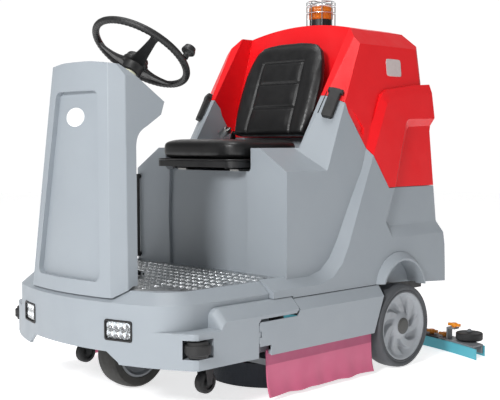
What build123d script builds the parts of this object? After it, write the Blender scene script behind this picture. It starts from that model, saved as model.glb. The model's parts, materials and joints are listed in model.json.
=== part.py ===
"""Ride-on floor scrubber dryer.

Millimetres, +Z up.  The machine faces -Y, X = 0 is its plane of symmetry and
the floor is Z = 0.  The driver's left is +X.
"""
from build123d import *
import os
from math import asin, atan2, cos, radians, sin, sqrt

os.makedirs("parts", exist_ok=True)

# ---- overall ---------------------------------------------------------------
FRONT_Y = -828.0            # foremost point of the bumper
REAR_Y = 828.0              # rearmost point of the squeegee
NOSE_RADIUS = 926.0         # the front is one arc in plan
FIT = 0.3                   # gap between neighbouring bodies
SEAM = 2.0                  # open joint line between mouldings
WALL = 6.0                  # moulded shell thickness

# ---- front fairing and deck ------------------------------------------------
BUMPER_HALF = 490.0
BUMPER_LOW_Z = 150.0
SHELF_Z = 262.0
STEP_HALF = 430.0
STEP_CORNER_R = 130.0
STEP_CHAMFER_W = 42.0
STEP_CHAMFER_H = 36.0
DECK_Z = 376.0
DECK_T = 8.0
STEP_REAR_Y = -318.0
FENDER_FRONT_Y = -588.0
FENDER_REAR_Y = -424.0
FENDER_TAIL_Y = -230.0
FENDER_TOP_Z = 322.0
FENDER_SIDE_Z = 285.0
FENDER_IN = 404.0
TAIL_LOW_Z = 274.0
PLATE_T = 4.0
FRONT_ARCH_Z = 187.0
FRONT_ARCH_HALF = 200.0
LAMP_X = 245.0
LAMP_Z = 256.0
LAMP_W = 106.0
LAMP_H = 66.0
LAMP_DEPTH = 24.0
ROLLER_X = 471.0
ROLLER_Y = -668.0
ROLLER_Z = 213.0
ROLLER_R = 40.0
ROLLER_H = 48.0
ROLLER_PIN_R = 6.0
NOTCH_LOW_Z = 184.0
NOTCH_TOP_Z = 242.0

# ---- console ---------------------------------------------------------------
SEAT_Z = 354.0              # console stands on the fairing here
CONSOLE_HALF_LOW = 250.0
CONSOLE_HALF_TOP = 189.0
CONSOLE_TOP_Z = 1094.0
CONSOLE_LEAN = 4.6          # degrees, front face leans back
CONSOLE_CHAMFER = 36.0
CONSOLE_WALL = 5.0
NOSE_TOP = (-563.0, 967.0)
TOP_FRONT = (-741.0, 1094.0)
RECESS_DEPTH = 18.0
COVER_HALF = 150.0
COVER_REAR_Y = -647.0

# ---- steering --------------------------------------------------------------
RIM_Y = -501.0
RIM_Z = 1140.0
RIM_R = 172.0
RIM_TUBE_R = 13.0
COLUMN_TILT = 35.5          # degrees back from the vertical
COLUMN_R = 24.0
SHAFT_R = 11.0
SHAFT_FIT = 0.05

# ---- body ------------------------------------------------------------------
BOX_FRONT_Y = -200.0
BOX_LOW_Z = 345.0
BLOCK_TOP_Z = 816.0
BLOCK_IN = 228.0
CORE_HALF = 400.0
CORE_TOP_HALF = 354.0
DRAFT_Z = 742.0
SHOULDER_Z = 1200.0
ROOF_EDGE_HALF = 290.0
ROOF_EDGE_Z = 1262.0
ROOF_Z = 1299.0
FLANK_HALF = 452.0          # half width of the raised lower body at its foot
FLANK_FOOT_Z = 318.0
FLANK_TILT = 4.6            # degrees inward
WING_IN = 284.0
SEAT_FLOOR_Z = 734.0
REAR_CORNER_R = 75.0

# ---- wheels ----------------------------------------------------------------
REAR_WHEEL_Y = 342.0
REAR_WHEEL_R = 155.0
REAR_WHEEL_W = 84.0
REAR_WHEEL_FACE_X = 494.0
REAR_RIM_R = 131.0
AXLE_R = 15.0
RUN_FIT = 0.05              # radial running clearance of a wheel on its axle
ARCH_Y = 370.0
ARCH_Z = 268.0
ARCH_R = 128.0
ARCH_LIP_R = 158.0
ARCH_LIP_X = 474.0
DRIVE_Y = -546.0
DRIVE_R = 122.0
DRIVE_W = 92.0
CASTER_X = 328.0
CASTER_Y = -508.0
CASTER_Z = 62.0
CASTER_R = 37.0
CASTER_W = 34.0

# ---- side covers, brush deck -----------------------------------------------
COVER_X = 490.0
COVER_IN_X = 450.0
COVER_LOW_Z = 152.0
COVER_TOP_Z = 315.0
COVER_SIDE_Z = 281.0
COVER_HINGE_X = 486.0
COVER_HINGE_Y = -418.0
HINGE_PIN_R = 2.5
SKIRT_X = 474.0
SKIRT_T = 5.0
SKIRT_LOW_Z = 12.0
SKIRT_TOP_Z = 168.0
SKIRT_FRONT_Y = -372.0
SKIRT_REAR_Y = 172.0
BRUSH_X = 222.0
BRUSH_Y = -100.0
BRUSH_R = 213.0

# ---- squeegee --------------------------------------------------------------
SQ_R = 1577.0
SQ_Y = 752.0                # front blade on the centre line
SQ_DEPTH = REAR_Y - SQ_Y
SQ_PIVOT_Y = 590.0
SQ_PIVOT_Z = 196.0


def write(piece, name):
    """Label one finished piece and write its STEP file."""
    piece.label = name
    export_step(piece, f"parts/{name}.step")


def side_plane(x=0.0):
    """Plane seen from the +X side: its own x is Y and its own y is Z."""
    return Plane(origin=(x, 0, 0), x_dir=(0, 1, 0), z_dir=(1, 0, 0))


def mirrored(part):
    """The same piece on the other side of the machine."""
    return mirror(part, about=Plane.YZ)


def arc_y(x, radius=NOSE_RADIUS):
    """Y of the front arc, or of an arc inside it, at the given X."""
    return FRONT_Y + NOSE_RADIUS - sqrt(radius**2 - x**2)


def lamp_plane(sign):
    """Plane square to the nose arc at one lamp, looking forward."""
    lean = asin(LAMP_X / NOSE_RADIUS) * sign
    return Plane(origin=(sign * LAMP_X, arc_y(LAMP_X), LAMP_Z),
                 x_dir=(cos(lean), sin(lean), 0), z_dir=(sin(lean), -cos(lean), 0))


SIDES = {"left": 1, "right": -1}

# ============================ front fairing =================================
with BuildSketch() as bumper_plan:
    with BuildLine():
        corner = (BUMPER_HALF - 8, arc_y(BUMPER_HALF - 8))
        ThreePointArc((-corner[0], corner[1]), (0, FRONT_Y), corner)
        Polyline(corner, (BUMPER_HALF, corner[1] + 12), (BUMPER_HALF, FENDER_REAR_Y),
                 (-BUMPER_HALF, FENDER_REAR_Y), (-BUMPER_HALF, corner[1] + 12),
                 (-corner[0], corner[1]))
    make_face()
    fillet(bumper_plan.vertices().sort_by(Axis.Y)[0:2], 26)

with BuildSketch() as step_plan:
    with BuildLine():
        side = (STEP_HALF, arc_y(STEP_HALF))
        ThreePointArc((-side[0], side[1]), (0, FRONT_Y), side)
        Polyline(side, (STEP_HALF, STEP_REAR_Y), (-STEP_HALF, STEP_REAR_Y), (-side[0], side[1]))
    make_face()
    fillet(step_plan.vertices().sort_by(Axis.Y)[0:2], STEP_CORNER_R)

with BuildPart() as front_fairing:
    # lower bumper band, full width, with the shelf over the corner rollers
    with BuildSketch(Plane.XY.offset(BUMPER_LOW_Z)):
        add(bumper_plan.sketch)
    extrude(amount=SHELF_Z - BUMPER_LOW_Z)
    fillet(front_fairing.faces().sort_by(Axis.Z)[-1].edges(), 5)
    # step moulding with its wide bevel
    with BuildPart(mode=Mode.PRIVATE) as step:
        with BuildSketch(Plane.XY.offset(BUMPER_LOW_Z)):
            add(step_plan.sketch)
        extrude(amount=DECK_Z - BUMPER_LOW_Z)
        rim = step.faces().sort_by(Axis.Z)[-1].edges()
        front_edge = rim.sort_by(Axis.Y)[0]
        keep = [e for e in rim if e.center().Y < STEP_REAR_Y - 5 and e != front_edge]
        chamfer(keep, STEP_CHAMFER_H, STEP_CHAMFER_W)
    add(step.part)
    # fenders behind the rollers, each with a tail over the side cover
    for sign in (1, -1):
        with BuildPart(mode=Mode.PRIVATE) as fender:
            with BuildSketch(Plane.XZ.offset(-FENDER_TAIL_Y)):
                with BuildLine():
                    Polyline((FENDER_IN, BUMPER_LOW_Z), (BUMPER_HALF, BUMPER_LOW_Z),
                             (BUMPER_HALF, FENDER_SIDE_Z), (BUMPER_HALF - 40, FENDER_TOP_Z),
                             (FENDER_IN, FENDER_TOP_Z), (FENDER_IN, BUMPER_LOW_Z))
                make_face()
            extrude(amount=FENDER_TAIL_Y - FENDER_FRONT_Y)
            with BuildSketch(side_plane()):
                with BuildLine():
                    Polyline((FENDER_REAR_Y, 0), (FENDER_REAR_Y, TAIL_LOW_Z - 12),
                             (FENDER_REAR_Y + 12, TAIL_LOW_Z), (FENDER_TAIL_Y - 16, TAIL_LOW_Z),
                             (FENDER_TAIL_Y, TAIL_LOW_Z + 16), (FENDER_TAIL_Y + 20, TAIL_LOW_Z + 16),
                             (FENDER_TAIL_Y + 20, 0), (FENDER_REAR_Y, 0))
                make_face()
            extrude(amount=600, mode=Mode.SUBTRACT)
            nose = fender.faces().sort_by(Axis.Y)[0].edges().sort_by(Axis.Z)
            fillet(nose[-2:], 30)
        add(fender.part if sign > 0 else mirrored(fender.part))
    # hollow underside: bumper, step and fenders
    with BuildSketch() as hollow:
        with BuildLine():
            inner = STEP_HALF - 2 * WALL
            r = NOSE_RADIUS - 2 * WALL
            ThreePointArc((-inner, arc_y(inner, r)), (0, arc_y(0, r)), (inner, arc_y(inner, r)))
            Polyline((inner, arc_y(inner, r)), (inner, STEP_REAR_Y + 1),
                     (-inner, STEP_REAR_Y + 1), (-inner, arc_y(inner, r)))
        make_face()
        fillet(hollow.vertices().sort_by(Axis.Y)[0:2], STEP_CORNER_R - 2 * WALL)
    extrude(hollow.sketch, amount=DECK_Z - PLATE_T - DECK_T - STEP_CHAMFER_H + 8, mode=Mode.SUBTRACT)
    with BuildSketch():
        for sign in (1, -1):
            with Locations((sign * (STEP_HALF + BUMPER_HALF) / 2 + sign * 2, (FENDER_REAR_Y - 575) / 2 - 3)):
                Rectangle(BUMPER_HALF - STEP_HALF - 2 * WALL + 4, 575 + FENDER_REAR_Y - 18)
    extrude(amount=FENDER_SIDE_Z - 14, mode=Mode.SUBTRACT)
    # seat for the console, and the sheet pocket for the footplate
    with BuildSketch(side_plane(-CONSOLE_HALF_LOW - 2)):
        with BuildLine():
            Polyline((FRONT_Y - 5, SEAT_Z - SEAM), (-790, SEAT_Z - SEAM), (-730, DECK_Z + 10),
                     (FRONT_Y - 5, DECK_Z + 10), (FRONT_Y - 5, SEAT_Z - SEAM))
        make_face()
    extrude(amount=2 * CONSOLE_HALF_LOW + 4, mode=Mode.SUBTRACT)
    with BuildSketch(Plane.XY.offset(DECK_Z - PLATE_T)) as pocket:
        with BuildLine():
            plate_half = STEP_HALF - STEP_CHAMFER_W - 4
            Polyline((-plate_half, STEP_REAR_Y + 1), (-plate_half, -640), (-265, -735), (265, -735),
                     (plate_half, -640), (plate_half, STEP_REAR_Y + 1), (-plate_half, STEP_REAR_Y + 1))
        make_face()
        fillet(pocket.vertices().sort_by(Axis.Y)[0:4], 40)
    extrude(amount=20, mode=Mode.SUBTRACT)
    # roller notches at the front corners
    for sign in (1, -1):
        with BuildSketch(Plane.XY.offset(NOTCH_LOW_Z)):
            with Locations((sign * ROLLER_X, ROLLER_Y)):
                Circle(ROLLER_R + 8)
            with Locations((sign * (ROLLER_X + 42), ROLLER_Y - 20)):
                Rectangle(84, 136)
        extrude(amount=NOTCH_TOP_Z - NOTCH_LOW_Z, mode=Mode.SUBTRACT)
        with Locations((sign * ROLLER_X, ROLLER_Y, (NOTCH_LOW_Z + NOTCH_TOP_Z) / 2)):
            Cylinder(ROLLER_PIN_R, NOTCH_TOP_Z - NOTCH_LOW_Z + 4)
        # lug and pin of the side cover's hinge
        with Locations((sign * COVER_HINGE_X, (COVER_HINGE_Y + FENDER_REAR_Y) / 2 - 1, 225)):
            Box(8, COVER_HINGE_Y - FENDER_REAR_Y + 2, 16)
        with Locations((sign * COVER_HINGE_X, COVER_HINGE_Y, 225)):
            Cylinder(4, 16)
            Cylinder(HINGE_PIN_R, 56)
    # raised middle of the lower edge
    with BuildSketch(Plane.XZ.offset(-FRONT_Y + 10)):
        with BuildLine():
            a = FRONT_ARCH_HALF
            Polyline((-a - 60, 100), (-a - 45, BUMPER_LOW_Z + 6), (-a, FRONT_ARCH_Z), (a, FRONT_ARCH_Z),
                     (a + 45, BUMPER_LOW_Z + 6), (a + 60, 100), (-a - 60, 100))
        make_face()
    extrude(amount=-120, mode=Mode.SUBTRACT)
    # lamp pockets, square to the nose arc
    for sign in (1, -1):
        with BuildSketch(lamp_plane(sign).offset(8)):
            RectangleRounded(LAMP_W + 2 * FIT, LAMP_H + 2 * FIT, 9)
        extrude(amount=-(LAMP_DEPTH + 12), mode=Mode.SUBTRACT)
write(front_fairing.part, "front_fairing")

# ---- footplate ---------------------------------------------------------------
SCREW_R = 8.0
SCREW_AT = [(sign * 352, y) for sign in (1, -1) for y in (-625, -440, -255)]
with BuildPart() as footplate:
    with BuildSketch(Plane.XY.offset(DECK_Z - PLATE_T)) as plate_plan:
        with BuildLine():
            plate_half = STEP_HALF - STEP_CHAMFER_W - 4 - FIT
            rear = BOX_FRONT_Y - FIT
            Polyline((-plate_half, rear), (-plate_half, -640), (-265, -735 + FIT), (265, -735 + FIT),
                     (plate_half, -640), (plate_half, rear), (-plate_half, rear))
        make_face()
        fillet(plate_plan.vertices().sort_by(Axis.Y)[0:4], 40)
    extrude(amount=PLATE_T)
    # opening for the column cover
    with BuildSketch(Plane.XY.offset(DECK_Z)):
        with Locations((0, (COVER_REAR_Y - 745) / 2)):
            Rectangle(2 * (COVER_HALF + FIT), COVER_REAR_Y + 745 + 2 * FIT)
    extrude(amount=-PLATE_T, mode=Mode.SUBTRACT)
    # holes for the flush screw heads
    for x, y in SCREW_AT:
        with Locations((x, y, DECK_Z - PLATE_T / 2)):
            Cylinder(SCREW_R + RUN_FIT, PLATE_T, mode=Mode.SUBTRACT)
PEDAL_HINGE_Y = -512.0
PEDAL_HINGE_Z = DECK_Z + 9.0
PEDAL_PIN_R = 4.0
PEDALS = {"accelerator_pedal": (-108.0, 74.0), "brake_pedal": (-16.0, 60.0)}
with BuildPart() as pedal_ears:
    for x, width in PEDALS.values():
        for side in (1, -1):
            with BuildSketch(side_plane(x + side * (width / 2 + FIT))):
                with BuildLine():
                    Polyline((PEDAL_HINGE_Y - 9, DECK_Z), (PEDAL_HINGE_Y - 9, PEDAL_HINGE_Z + 7),
                             (PEDAL_HINGE_Y + 9, PEDAL_HINGE_Z + 7), (PEDAL_HINGE_Y + 9, DECK_Z),
                             (PEDAL_HINGE_Y - 9, DECK_Z))
                make_face()
                with Locations((PEDAL_HINGE_Y, PEDAL_HINGE_Z)):
                    Circle(PEDAL_PIN_R + RUN_FIT, mode=Mode.SUBTRACT)
            extrude(amount=side * 5)
with BuildPart() as footplate_screws:
    for x, y in SCREW_AT:
        with Locations((x, y, DECK_Z)):
            Cylinder(SCREW_R, PLATE_T, align=(Align.CENTER, Align.CENTER, Align.MAX))
            Cylinder(2.2, 2.4, mode=Mode.SUBTRACT, align=(Align.CENTER, Align.CENTER, Align.MAX))
write(footplate.part + pedal_ears.part, "footplate")
write(footplate_screws.part, "footplate_screws")

# ---- lamps ---------------------------------------------------------------------
with BuildPart() as headlight_bezels:
    for sign in (1, -1):
        with BuildSketch(lamp_plane(sign).offset(2.5)):
            RectangleRounded(LAMP_W, LAMP_H, 8.7)
        extrude(amount=-(LAMP_DEPTH + 2))
        with BuildSketch(lamp_plane(sign).offset(2.5)):
            RectangleRounded(LAMP_W - 12, LAMP_H - 12, 4)
        extrude(amount=-(LAMP_DEPTH - 2), mode=Mode.SUBTRACT)
with BuildPart() as headlight_lenses:
    for sign in (1, -1):
        with BuildSketch(lamp_plane(sign).offset(-2)):
            RectangleRounded(LAMP_W - 12.4, LAMP_H - 12.4, 3.8)
        extrude(amount=-(LAMP_DEPTH - 6.5))
write(headlight_bezels.part, "headlight_bezels")
write(headlight_lenses.part, "headlight_lenses")

# ============================ console =======================================
top_angle = atan2(TOP_FRONT[1] - NOSE_TOP[1], NOSE_TOP[0] - TOP_FRONT[0])


def lean_cylinder(radius):
    """The nose arc as a leaning cylinder of the given radius."""
    with BuildPart(mode=Mode.PRIVATE) as drum:
        base = Plane(origin=(0, FRONT_Y, 352), x_dir=(1, 0, 0),
                     z_dir=(0, sin(radians(CONSOLE_LEAN)), cos(radians(CONSOLE_LEAN))))
        with BuildSketch(base.offset(-100)):
            with Locations((0, NOSE_RADIUS)):
                Circle(radius)
        extrude(amount=1100)
    return drum.part


def console_profile(inset):
    """Side outline of the console shell, moved inward by inset."""
    with BuildSketch(side_plane(-300)) as sketch:
        with BuildLine():
            Polyline((-720 - inset, 340), (FRONT_Y - 60, 340), (FRONT_Y - 60, TOP_FRONT[1] - 8),
                     (TOP_FRONT[0] - 34, TOP_FRONT[1]), TOP_FRONT, NOSE_TOP, (-580, 925),
                     (-640, 888))
            if inset:
                Polyline((-640, 888), (-676, 862), (-690, 820))
            else:
                Spline((-640, 888), (-676, 862), (-690, 820), tangents=((-1, -0.5), (-0.1, -1)))
            Polyline((-690, 820), (-702, 654), (-720 - inset, 340))
        make_face()
        if inset:
            offset(amount=-inset, kind=Kind.INTERSECTION, mode=Mode.REPLACE)
    return sketch.sketch


def console_solid(inset):
    """Console outer form: lean nose arc, tapering sides and the side outline."""
    low, top, slope = CONSOLE_HALF_LOW - inset, CONSOLE_HALF_TOP - inset, CONSOLE_TOP_Z - inset
    with BuildPart(mode=Mode.PRIVATE) as form:
        extrude(console_profile(inset), amount=600)
        with BuildSketch(Plane.XZ.offset(900)) as front_view:
            with BuildLine():
                grow = (low - top) / (1050 - 352)
                Polyline((-top + 22, slope - 12), (-top, 1046), (-low - grow * 12, 340),
                         (low + grow * 12, 340), (top, 1046), (top - 22, slope - 12))
                ThreePointArc((top - 22, slope - 12), (0, slope + 2), (-top + 22, slope - 12))
            make_face()
            fillet(front_view.vertices().filter_by_position(Axis.Z, 1040, 1090), 26)
        extrude(amount=-500, mode=Mode.INTERSECT)
        add(lean_cylinder(NOSE_RADIUS - inset), mode=Mode.INTERSECT)
        posts = form.edges().filter_by(lambda e: e.length > 400 and abs(e.center().X) > 170
                                       and e.center().Y < -750)
        chamfer(posts, CONSOLE_CHAMFER)
        if not inset:
            posts = form.edges().filter_by(lambda e: e.length > 380 and e.center().Y < -720
                                           and abs(e.center().X) > 150)
            fillet(posts, 9)
    return form.part


RECESS_CORNER = 24.0
RECESS = [(-172, 400), (172, 400), (112, 1000), (-112, 1000)]


def recess_block(grow, depth):
    """The tall recess in the console front: its outline grown, cut to a depth below the face."""
    with BuildPart(mode=Mode.PRIVATE) as block:
        with BuildSketch(Plane.XZ.offset(-(FRONT_Y - 30))) as outline:
            with BuildLine():
                Polyline(*RECESS, RECESS[0])
            make_face()
            if grow:
                offset(amount=grow, kind=Kind.INTERSECTION, mode=Mode.REPLACE)
            fillet(outline.vertices(), RECESS_CORNER + grow)
        extrude(amount=-170)
        add(lean_cylinder(NOSE_RADIUS - depth), mode=Mode.SUBTRACT)
    return block.part


DASH_T = 3.0
dash_mid = ((TOP_FRONT[0] + NOSE_TOP[0]) / 2, (TOP_FRONT[1] + NOSE_TOP[1]) / 2)
dash_plane = Plane(origin=(0, dash_mid[0], dash_mid[1]), x_dir=(1, 0, 0),
                   z_dir=(0, sin(top_angle), cos(top_angle)))
DASH_W = 262.0
DASH_L = 100.0
DASH_AT = -30.0             # along the slope from its middle, away from the driver
KEY_AT = (92.0, DASH_AT + 22)
STOP_AT = (-92.0, DASH_AT + 12)
HORN_AT = (92.0, DASH_AT - 26)
STEM_R = 8.0
STEM_PAST = 12.0            # how far a control's stem reaches below the dash
SHROUD_TOP_Z = 868.0
with BuildPart(mode=Mode.PRIVATE) as console_inside:
    add(console_solid(CONSOLE_WALL + 3))
    add(recess_block(CONSOLE_WALL, RECESS_DEPTH + CONSOLE_WALL), mode=Mode.SUBTRACT)
with BuildPart() as console_shell:
    add(console_solid(0))
    add(recess_block(0, RECESS_DEPTH), mode=Mode.SUBTRACT)
    add(console_inside.part, mode=Mode.SUBTRACT)
    # the leg side is open below the nose
    with BuildSketch(Plane.XY.offset(300)):
        with Locations((0, -640)):
            Rectangle(2 * (COVER_HALF + FIT), 240)
    extrude(amount=SHROUD_TOP_Z + FIT - 300, mode=Mode.SUBTRACT)
    # lower edge follows the fairing: low at the front, rising over the step
    with BuildSketch(side_plane(-300)):
        with BuildLine():
            Polyline((FRONT_Y - 80, 330), (FRONT_Y - 80, SEAT_Z), (-796, SEAT_Z), (-736, DECK_Z + 12),
                     (-640, DECK_Z + 12), (-640, 330), (FRONT_Y - 80, 330))
        make_face()
    extrude(amount=600, mode=Mode.SUBTRACT)
    # column hole through the sloping top
    axis_dir = (0, sin(radians(COLUMN_TILT)), cos(radians(COLUMN_TILT)))
    column_plane = Plane(origin=(0, RIM_Y, RIM_Z), x_dir=(1, 0, 0), z_dir=axis_dir)
    with BuildSketch(column_plane.offset(-100)):
        Circle(COLUMN_R + FIT)
    extrude(amount=-220, mode=Mode.SUBTRACT)
    # clear holes under the key, the stop and the horn
    with BuildSketch(dash_plane):
        with Locations(KEY_AT, STOP_AT, HORN_AT):
            Circle(STEM_R + FIT)
    extrude(amount=-3 * STEM_PAST, mode=Mode.SUBTRACT)
write(console_shell.part, "console_shell")

# ---- leg-side cover, dash and controls -------------------------------------------
with BuildPart() as console_rear_cover:
    with BuildSketch(Plane.XY.offset(DECK_Z)):
        with Locations((0, (COVER_REAR_Y - 735) / 2)):
            Rectangle(2 * COVER_HALF, COVER_REAR_Y + 735)
    extrude(amount=SHROUD_TOP_Z - DECK_Z)
    fillet(console_rear_cover.edges().filter_by(Axis.Z).group_by(Axis.Y)[-1], 14)
    with BuildSketch(Plane.XY.offset(DECK_Z)):
        with Locations((0, (COVER_REAR_Y - 735) / 2 - 8)):
            Rectangle(2 * COVER_HALF - 12, COVER_REAR_Y + 735 + 8)
    extrude(amount=SHROUD_TOP_Z - DECK_Z - WALL, mode=Mode.SUBTRACT)
write(console_rear_cover.part, "console_rear_cover")

with BuildPart() as dash_panel:
    with BuildSketch(dash_plane):
        with Locations((0, DASH_AT)):
            RectangleRounded(DASH_W, DASH_L, 22)
        with Locations(KEY_AT, STOP_AT, HORN_AT):
            Circle(STEM_R + FIT, mode=Mode.SUBTRACT)
    extrude(amount=DASH_T)
write(dash_panel.part, "dash_panel")


def control(at, head_r, head_h, travel):
    """A round control: stem through the dash and a head standing proud by its travel."""
    with BuildPart() as knob:
        with BuildSketch(dash_plane.offset(DASH_T + travel)):
            with Locations(at):
                Circle(head_r)
        extrude(amount=head_h)
        fillet(knob.faces().sort_by(lambda f: f.center().Z)[-1].edges(), min(2.5, head_h / 3))
        with BuildSketch(dash_plane.offset(DASH_T + travel)):
            with Locations(at):
                Circle(STEM_R)
        extrude(amount=-(DASH_T + travel + STEM_PAST))
    return knob


with BuildPart() as key_switch:
    add(control(KEY_AT, 13, 7, FIT).part)
    with BuildSketch(dash_plane.offset(DASH_T + FIT + 6.5)):
        with Locations(KEY_AT):
            Rectangle(4, 22)
    extrude(amount=20)
with BuildPart() as emergency_stop:
    add(control(STOP_AT, 20, 13, 5).part)
with BuildPart() as horn_button:
    add(control(HORN_AT, 11, 5, 4).part)
write(key_switch.part, "key_switch")
write(emergency_stop.part, "emergency_stop")
write(horn_button.part, "horn_button")

# ============================ steering ======================================
# column_plane: origin at the middle of the rim, z along the column, toward the driver
HUB_DROP = 52.0
with BuildPart() as steering_column:
    with BuildSketch(column_plane.offset(-150)):
        Circle(COLUMN_R)
        Circle(SHAFT_R + SHAFT_FIT, mode=Mode.SUBTRACT)
    extrude(amount=-160)
    with BuildSketch(column_plane.offset(-150)):
        Circle(COLUMN_R - 6)
        Circle(SHAFT_R + SHAFT_FIT, mode=Mode.SUBTRACT)
    extrude(amount=6)
write(steering_column.part, "steering_column")
with BuildPart() as steering_shaft:
    with BuildSketch(column_plane.offset(-HUB_DROP - 34)):
        Circle(SHAFT_R)
    extrude(amount=-222)
    # splined neck and the pale collar under the hub
    with BuildSketch(column_plane.offset(-HUB_DROP - 34)):
        Circle(19)
    extrude(amount=-(144 - HUB_DROP - 34))
    with BuildSketch(column_plane.offset(-HUB_DROP - 34)):
        with PolarLocations(19, 16):
            Rectangle(4, 3)
    extrude(amount=-(144 - HUB_DROP - 34), mode=Mode.SUBTRACT)
    with BuildSketch(column_plane.offset(-HUB_DROP - 34)):
        Circle(27)
    extrude(amount=-7)
write(steering_shaft.part, "steering_shaft")
SPINNER_ANGLE = 20.0
with BuildPart() as steering_wheel:
    with BuildSketch(Plane(origin=column_plane.origin, x_dir=column_plane.x_dir,
                           z_dir=-column_plane.y_dir)):
        with Locations((RIM_R, 0)):
            Circle(RIM_TUBE_R)
    revolve(axis=Axis(column_plane.origin, column_plane.z_dir))
    # hub: stepped drum below the rim
    for r, low, high in ((36, -HUB_DROP - 34, -HUB_DROP), (46, -HUB_DROP, -HUB_DROP + 16),
                         (40, -HUB_DROP + 16, -HUB_DROP + 34)):
        with BuildSketch(column_plane.offset(low)):
            Circle(r)
        extrude(amount=high - low)
    # three dished spokes
    for angle in (90, 205, 335):
        c, s = cos(radians(angle)), sin(radians(angle))
        with BuildPart(mode=Mode.PRIVATE) as spoke:
            out = column_plane.x_dir * c + column_plane.y_dir * s
            sideways = column_plane.z_dir.cross(out)
            root = Plane(origin=column_plane.origin + out * 34 - column_plane.z_dir * (HUB_DROP - 4),
                         x_dir=sideways, z_dir=out)
            tip = Plane(origin=column_plane.origin + out * (RIM_R - 4) - column_plane.z_dir * 3,
                        x_dir=sideways, z_dir=out)
            with BuildSketch(root):
                Rectangle(56, 20)
            with BuildSketch(tip):
                Rectangle(26, 12)
            loft()
        add(spoke.part)
write(steering_wheel.part, "steering_wheel")
spin_out = (column_plane.x_dir * cos(radians(SPINNER_ANGLE))
            + column_plane.y_dir * sin(radians(SPINNER_ANGLE)))
spin_plane = Plane(origin=column_plane.origin + spin_out * RIM_R + column_plane.z_dir * RIM_TUBE_R,
                   x_dir=column_plane.x_dir, z_dir=column_plane.z_dir)
with BuildPart() as spinner_knob:
    with BuildSketch(Plane(origin=spin_plane.origin, x_dir=spin_plane.x_dir,
                           z_dir=-spin_plane.y_dir)):
        with BuildLine():
            Polyline((0, 0.3), (11, 0.3), (11, 12))
            Spline((11, 12), (24, 26), (20, 42), (0, 48), tangents=((0.3, 1), (-1, 0)))
            Line((0, 48), (0, 0.3))
        make_face()
    revolve(axis=Axis(spin_plane.origin, spin_plane.z_dir))
write(spinner_knob.part, "spinner_knob")

# ---- drive unit --------------------------------------------------------------------
FORK_IN = DRIVE_W / 2 + 8
KINGPIN_R = 20.0
with BuildPart() as drive_fork:
    with Locations((0, DRIVE_Y, 286)):
        Cylinder(78, 24)
    for sign in (1, -1):
        with BuildSketch(side_plane(sign * FORK_IN)):
            with BuildLine():
                Polyline((DRIVE_Y - 42, 276), (DRIVE_Y + 42, 276), (DRIVE_Y + 26, DRIVE_R),
                         (DRIVE_Y - 26, DRIVE_R), (DRIVE_Y - 42, 276))
            make_face()
            with Locations((DRIVE_Y, DRIVE_R)):
                Circle(27)
        extrude(amount=sign * 12)
    with Locations(Location((0, DRIVE_Y, DRIVE_R), (0, 90, 0))):
        Cylinder(AXLE_R, 2 * FORK_IN + 24)
    # kingpin through the frame plate, and the traction motor on one leg of the fork
    with Locations((0, DRIVE_Y, 298)):
        Cylinder(KINGPIN_R, 22, align=(Align.CENTER, Align.CENTER, Align.MIN))
    with Locations(Location((-FORK_IN - 12 - 45, DRIVE_Y, DRIVE_R + 72), (0, 90, 0))):
        Cylinder(45, 90)
write(drive_fork.part, "drive_fork")


def wheel_pair(x_mid, y, z, radius, rim_r, width, bore, dish, spokes, cap_r, face=1):
    """Hub and tyre of a wheel whose axle is along X; face is the side it is seen from."""
    half = width / 2
    with BuildPart() as hub:
        with BuildSketch(Plane.XY):
            with BuildLine():
                Polyline((bore, -half + 4), (rim_r, -half + 4), (rim_r, half - 4),
                         (rim_r - 9, half - 2), (rim_r - 16, half - 12), (cap_r + 14, half - dish),
                         (cap_r + 8, half - 6), (bore, half - 6), (bore, -half + 4))
            make_face()
        revolve(axis=Axis.Y)
        if spokes:
            with BuildSketch(Plane.XZ.offset(-half + dish - 2)):
                with PolarLocations((rim_r + cap_r) / 2 + 2, spokes):
                    SlotCenterToCenter(rim_r - cap_r - 60, 22)
            extrude(amount=16, mode=Mode.SUBTRACT)
    with BuildPart() as tyre:
        with BuildSketch(Plane.XY):
            with BuildLine():
                crown = radius - 4
                Polyline((rim_r, -half + 2), (crown - 6, -half), (crown, -half + 8))
                ThreePointArc((crown, -half + 8), (radius, 0), (crown, half - 8))
                Polyline((crown, half - 8), (crown - 6, half), (rim_r, half - 2), (rim_r, -half + 2))
            make_face()
        revolve(axis=Axis.Y)
    turn = Location((x_mid, y, z), (0, 0, -90 * face))
    return turn * hub.part, turn * tyre.part


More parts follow.
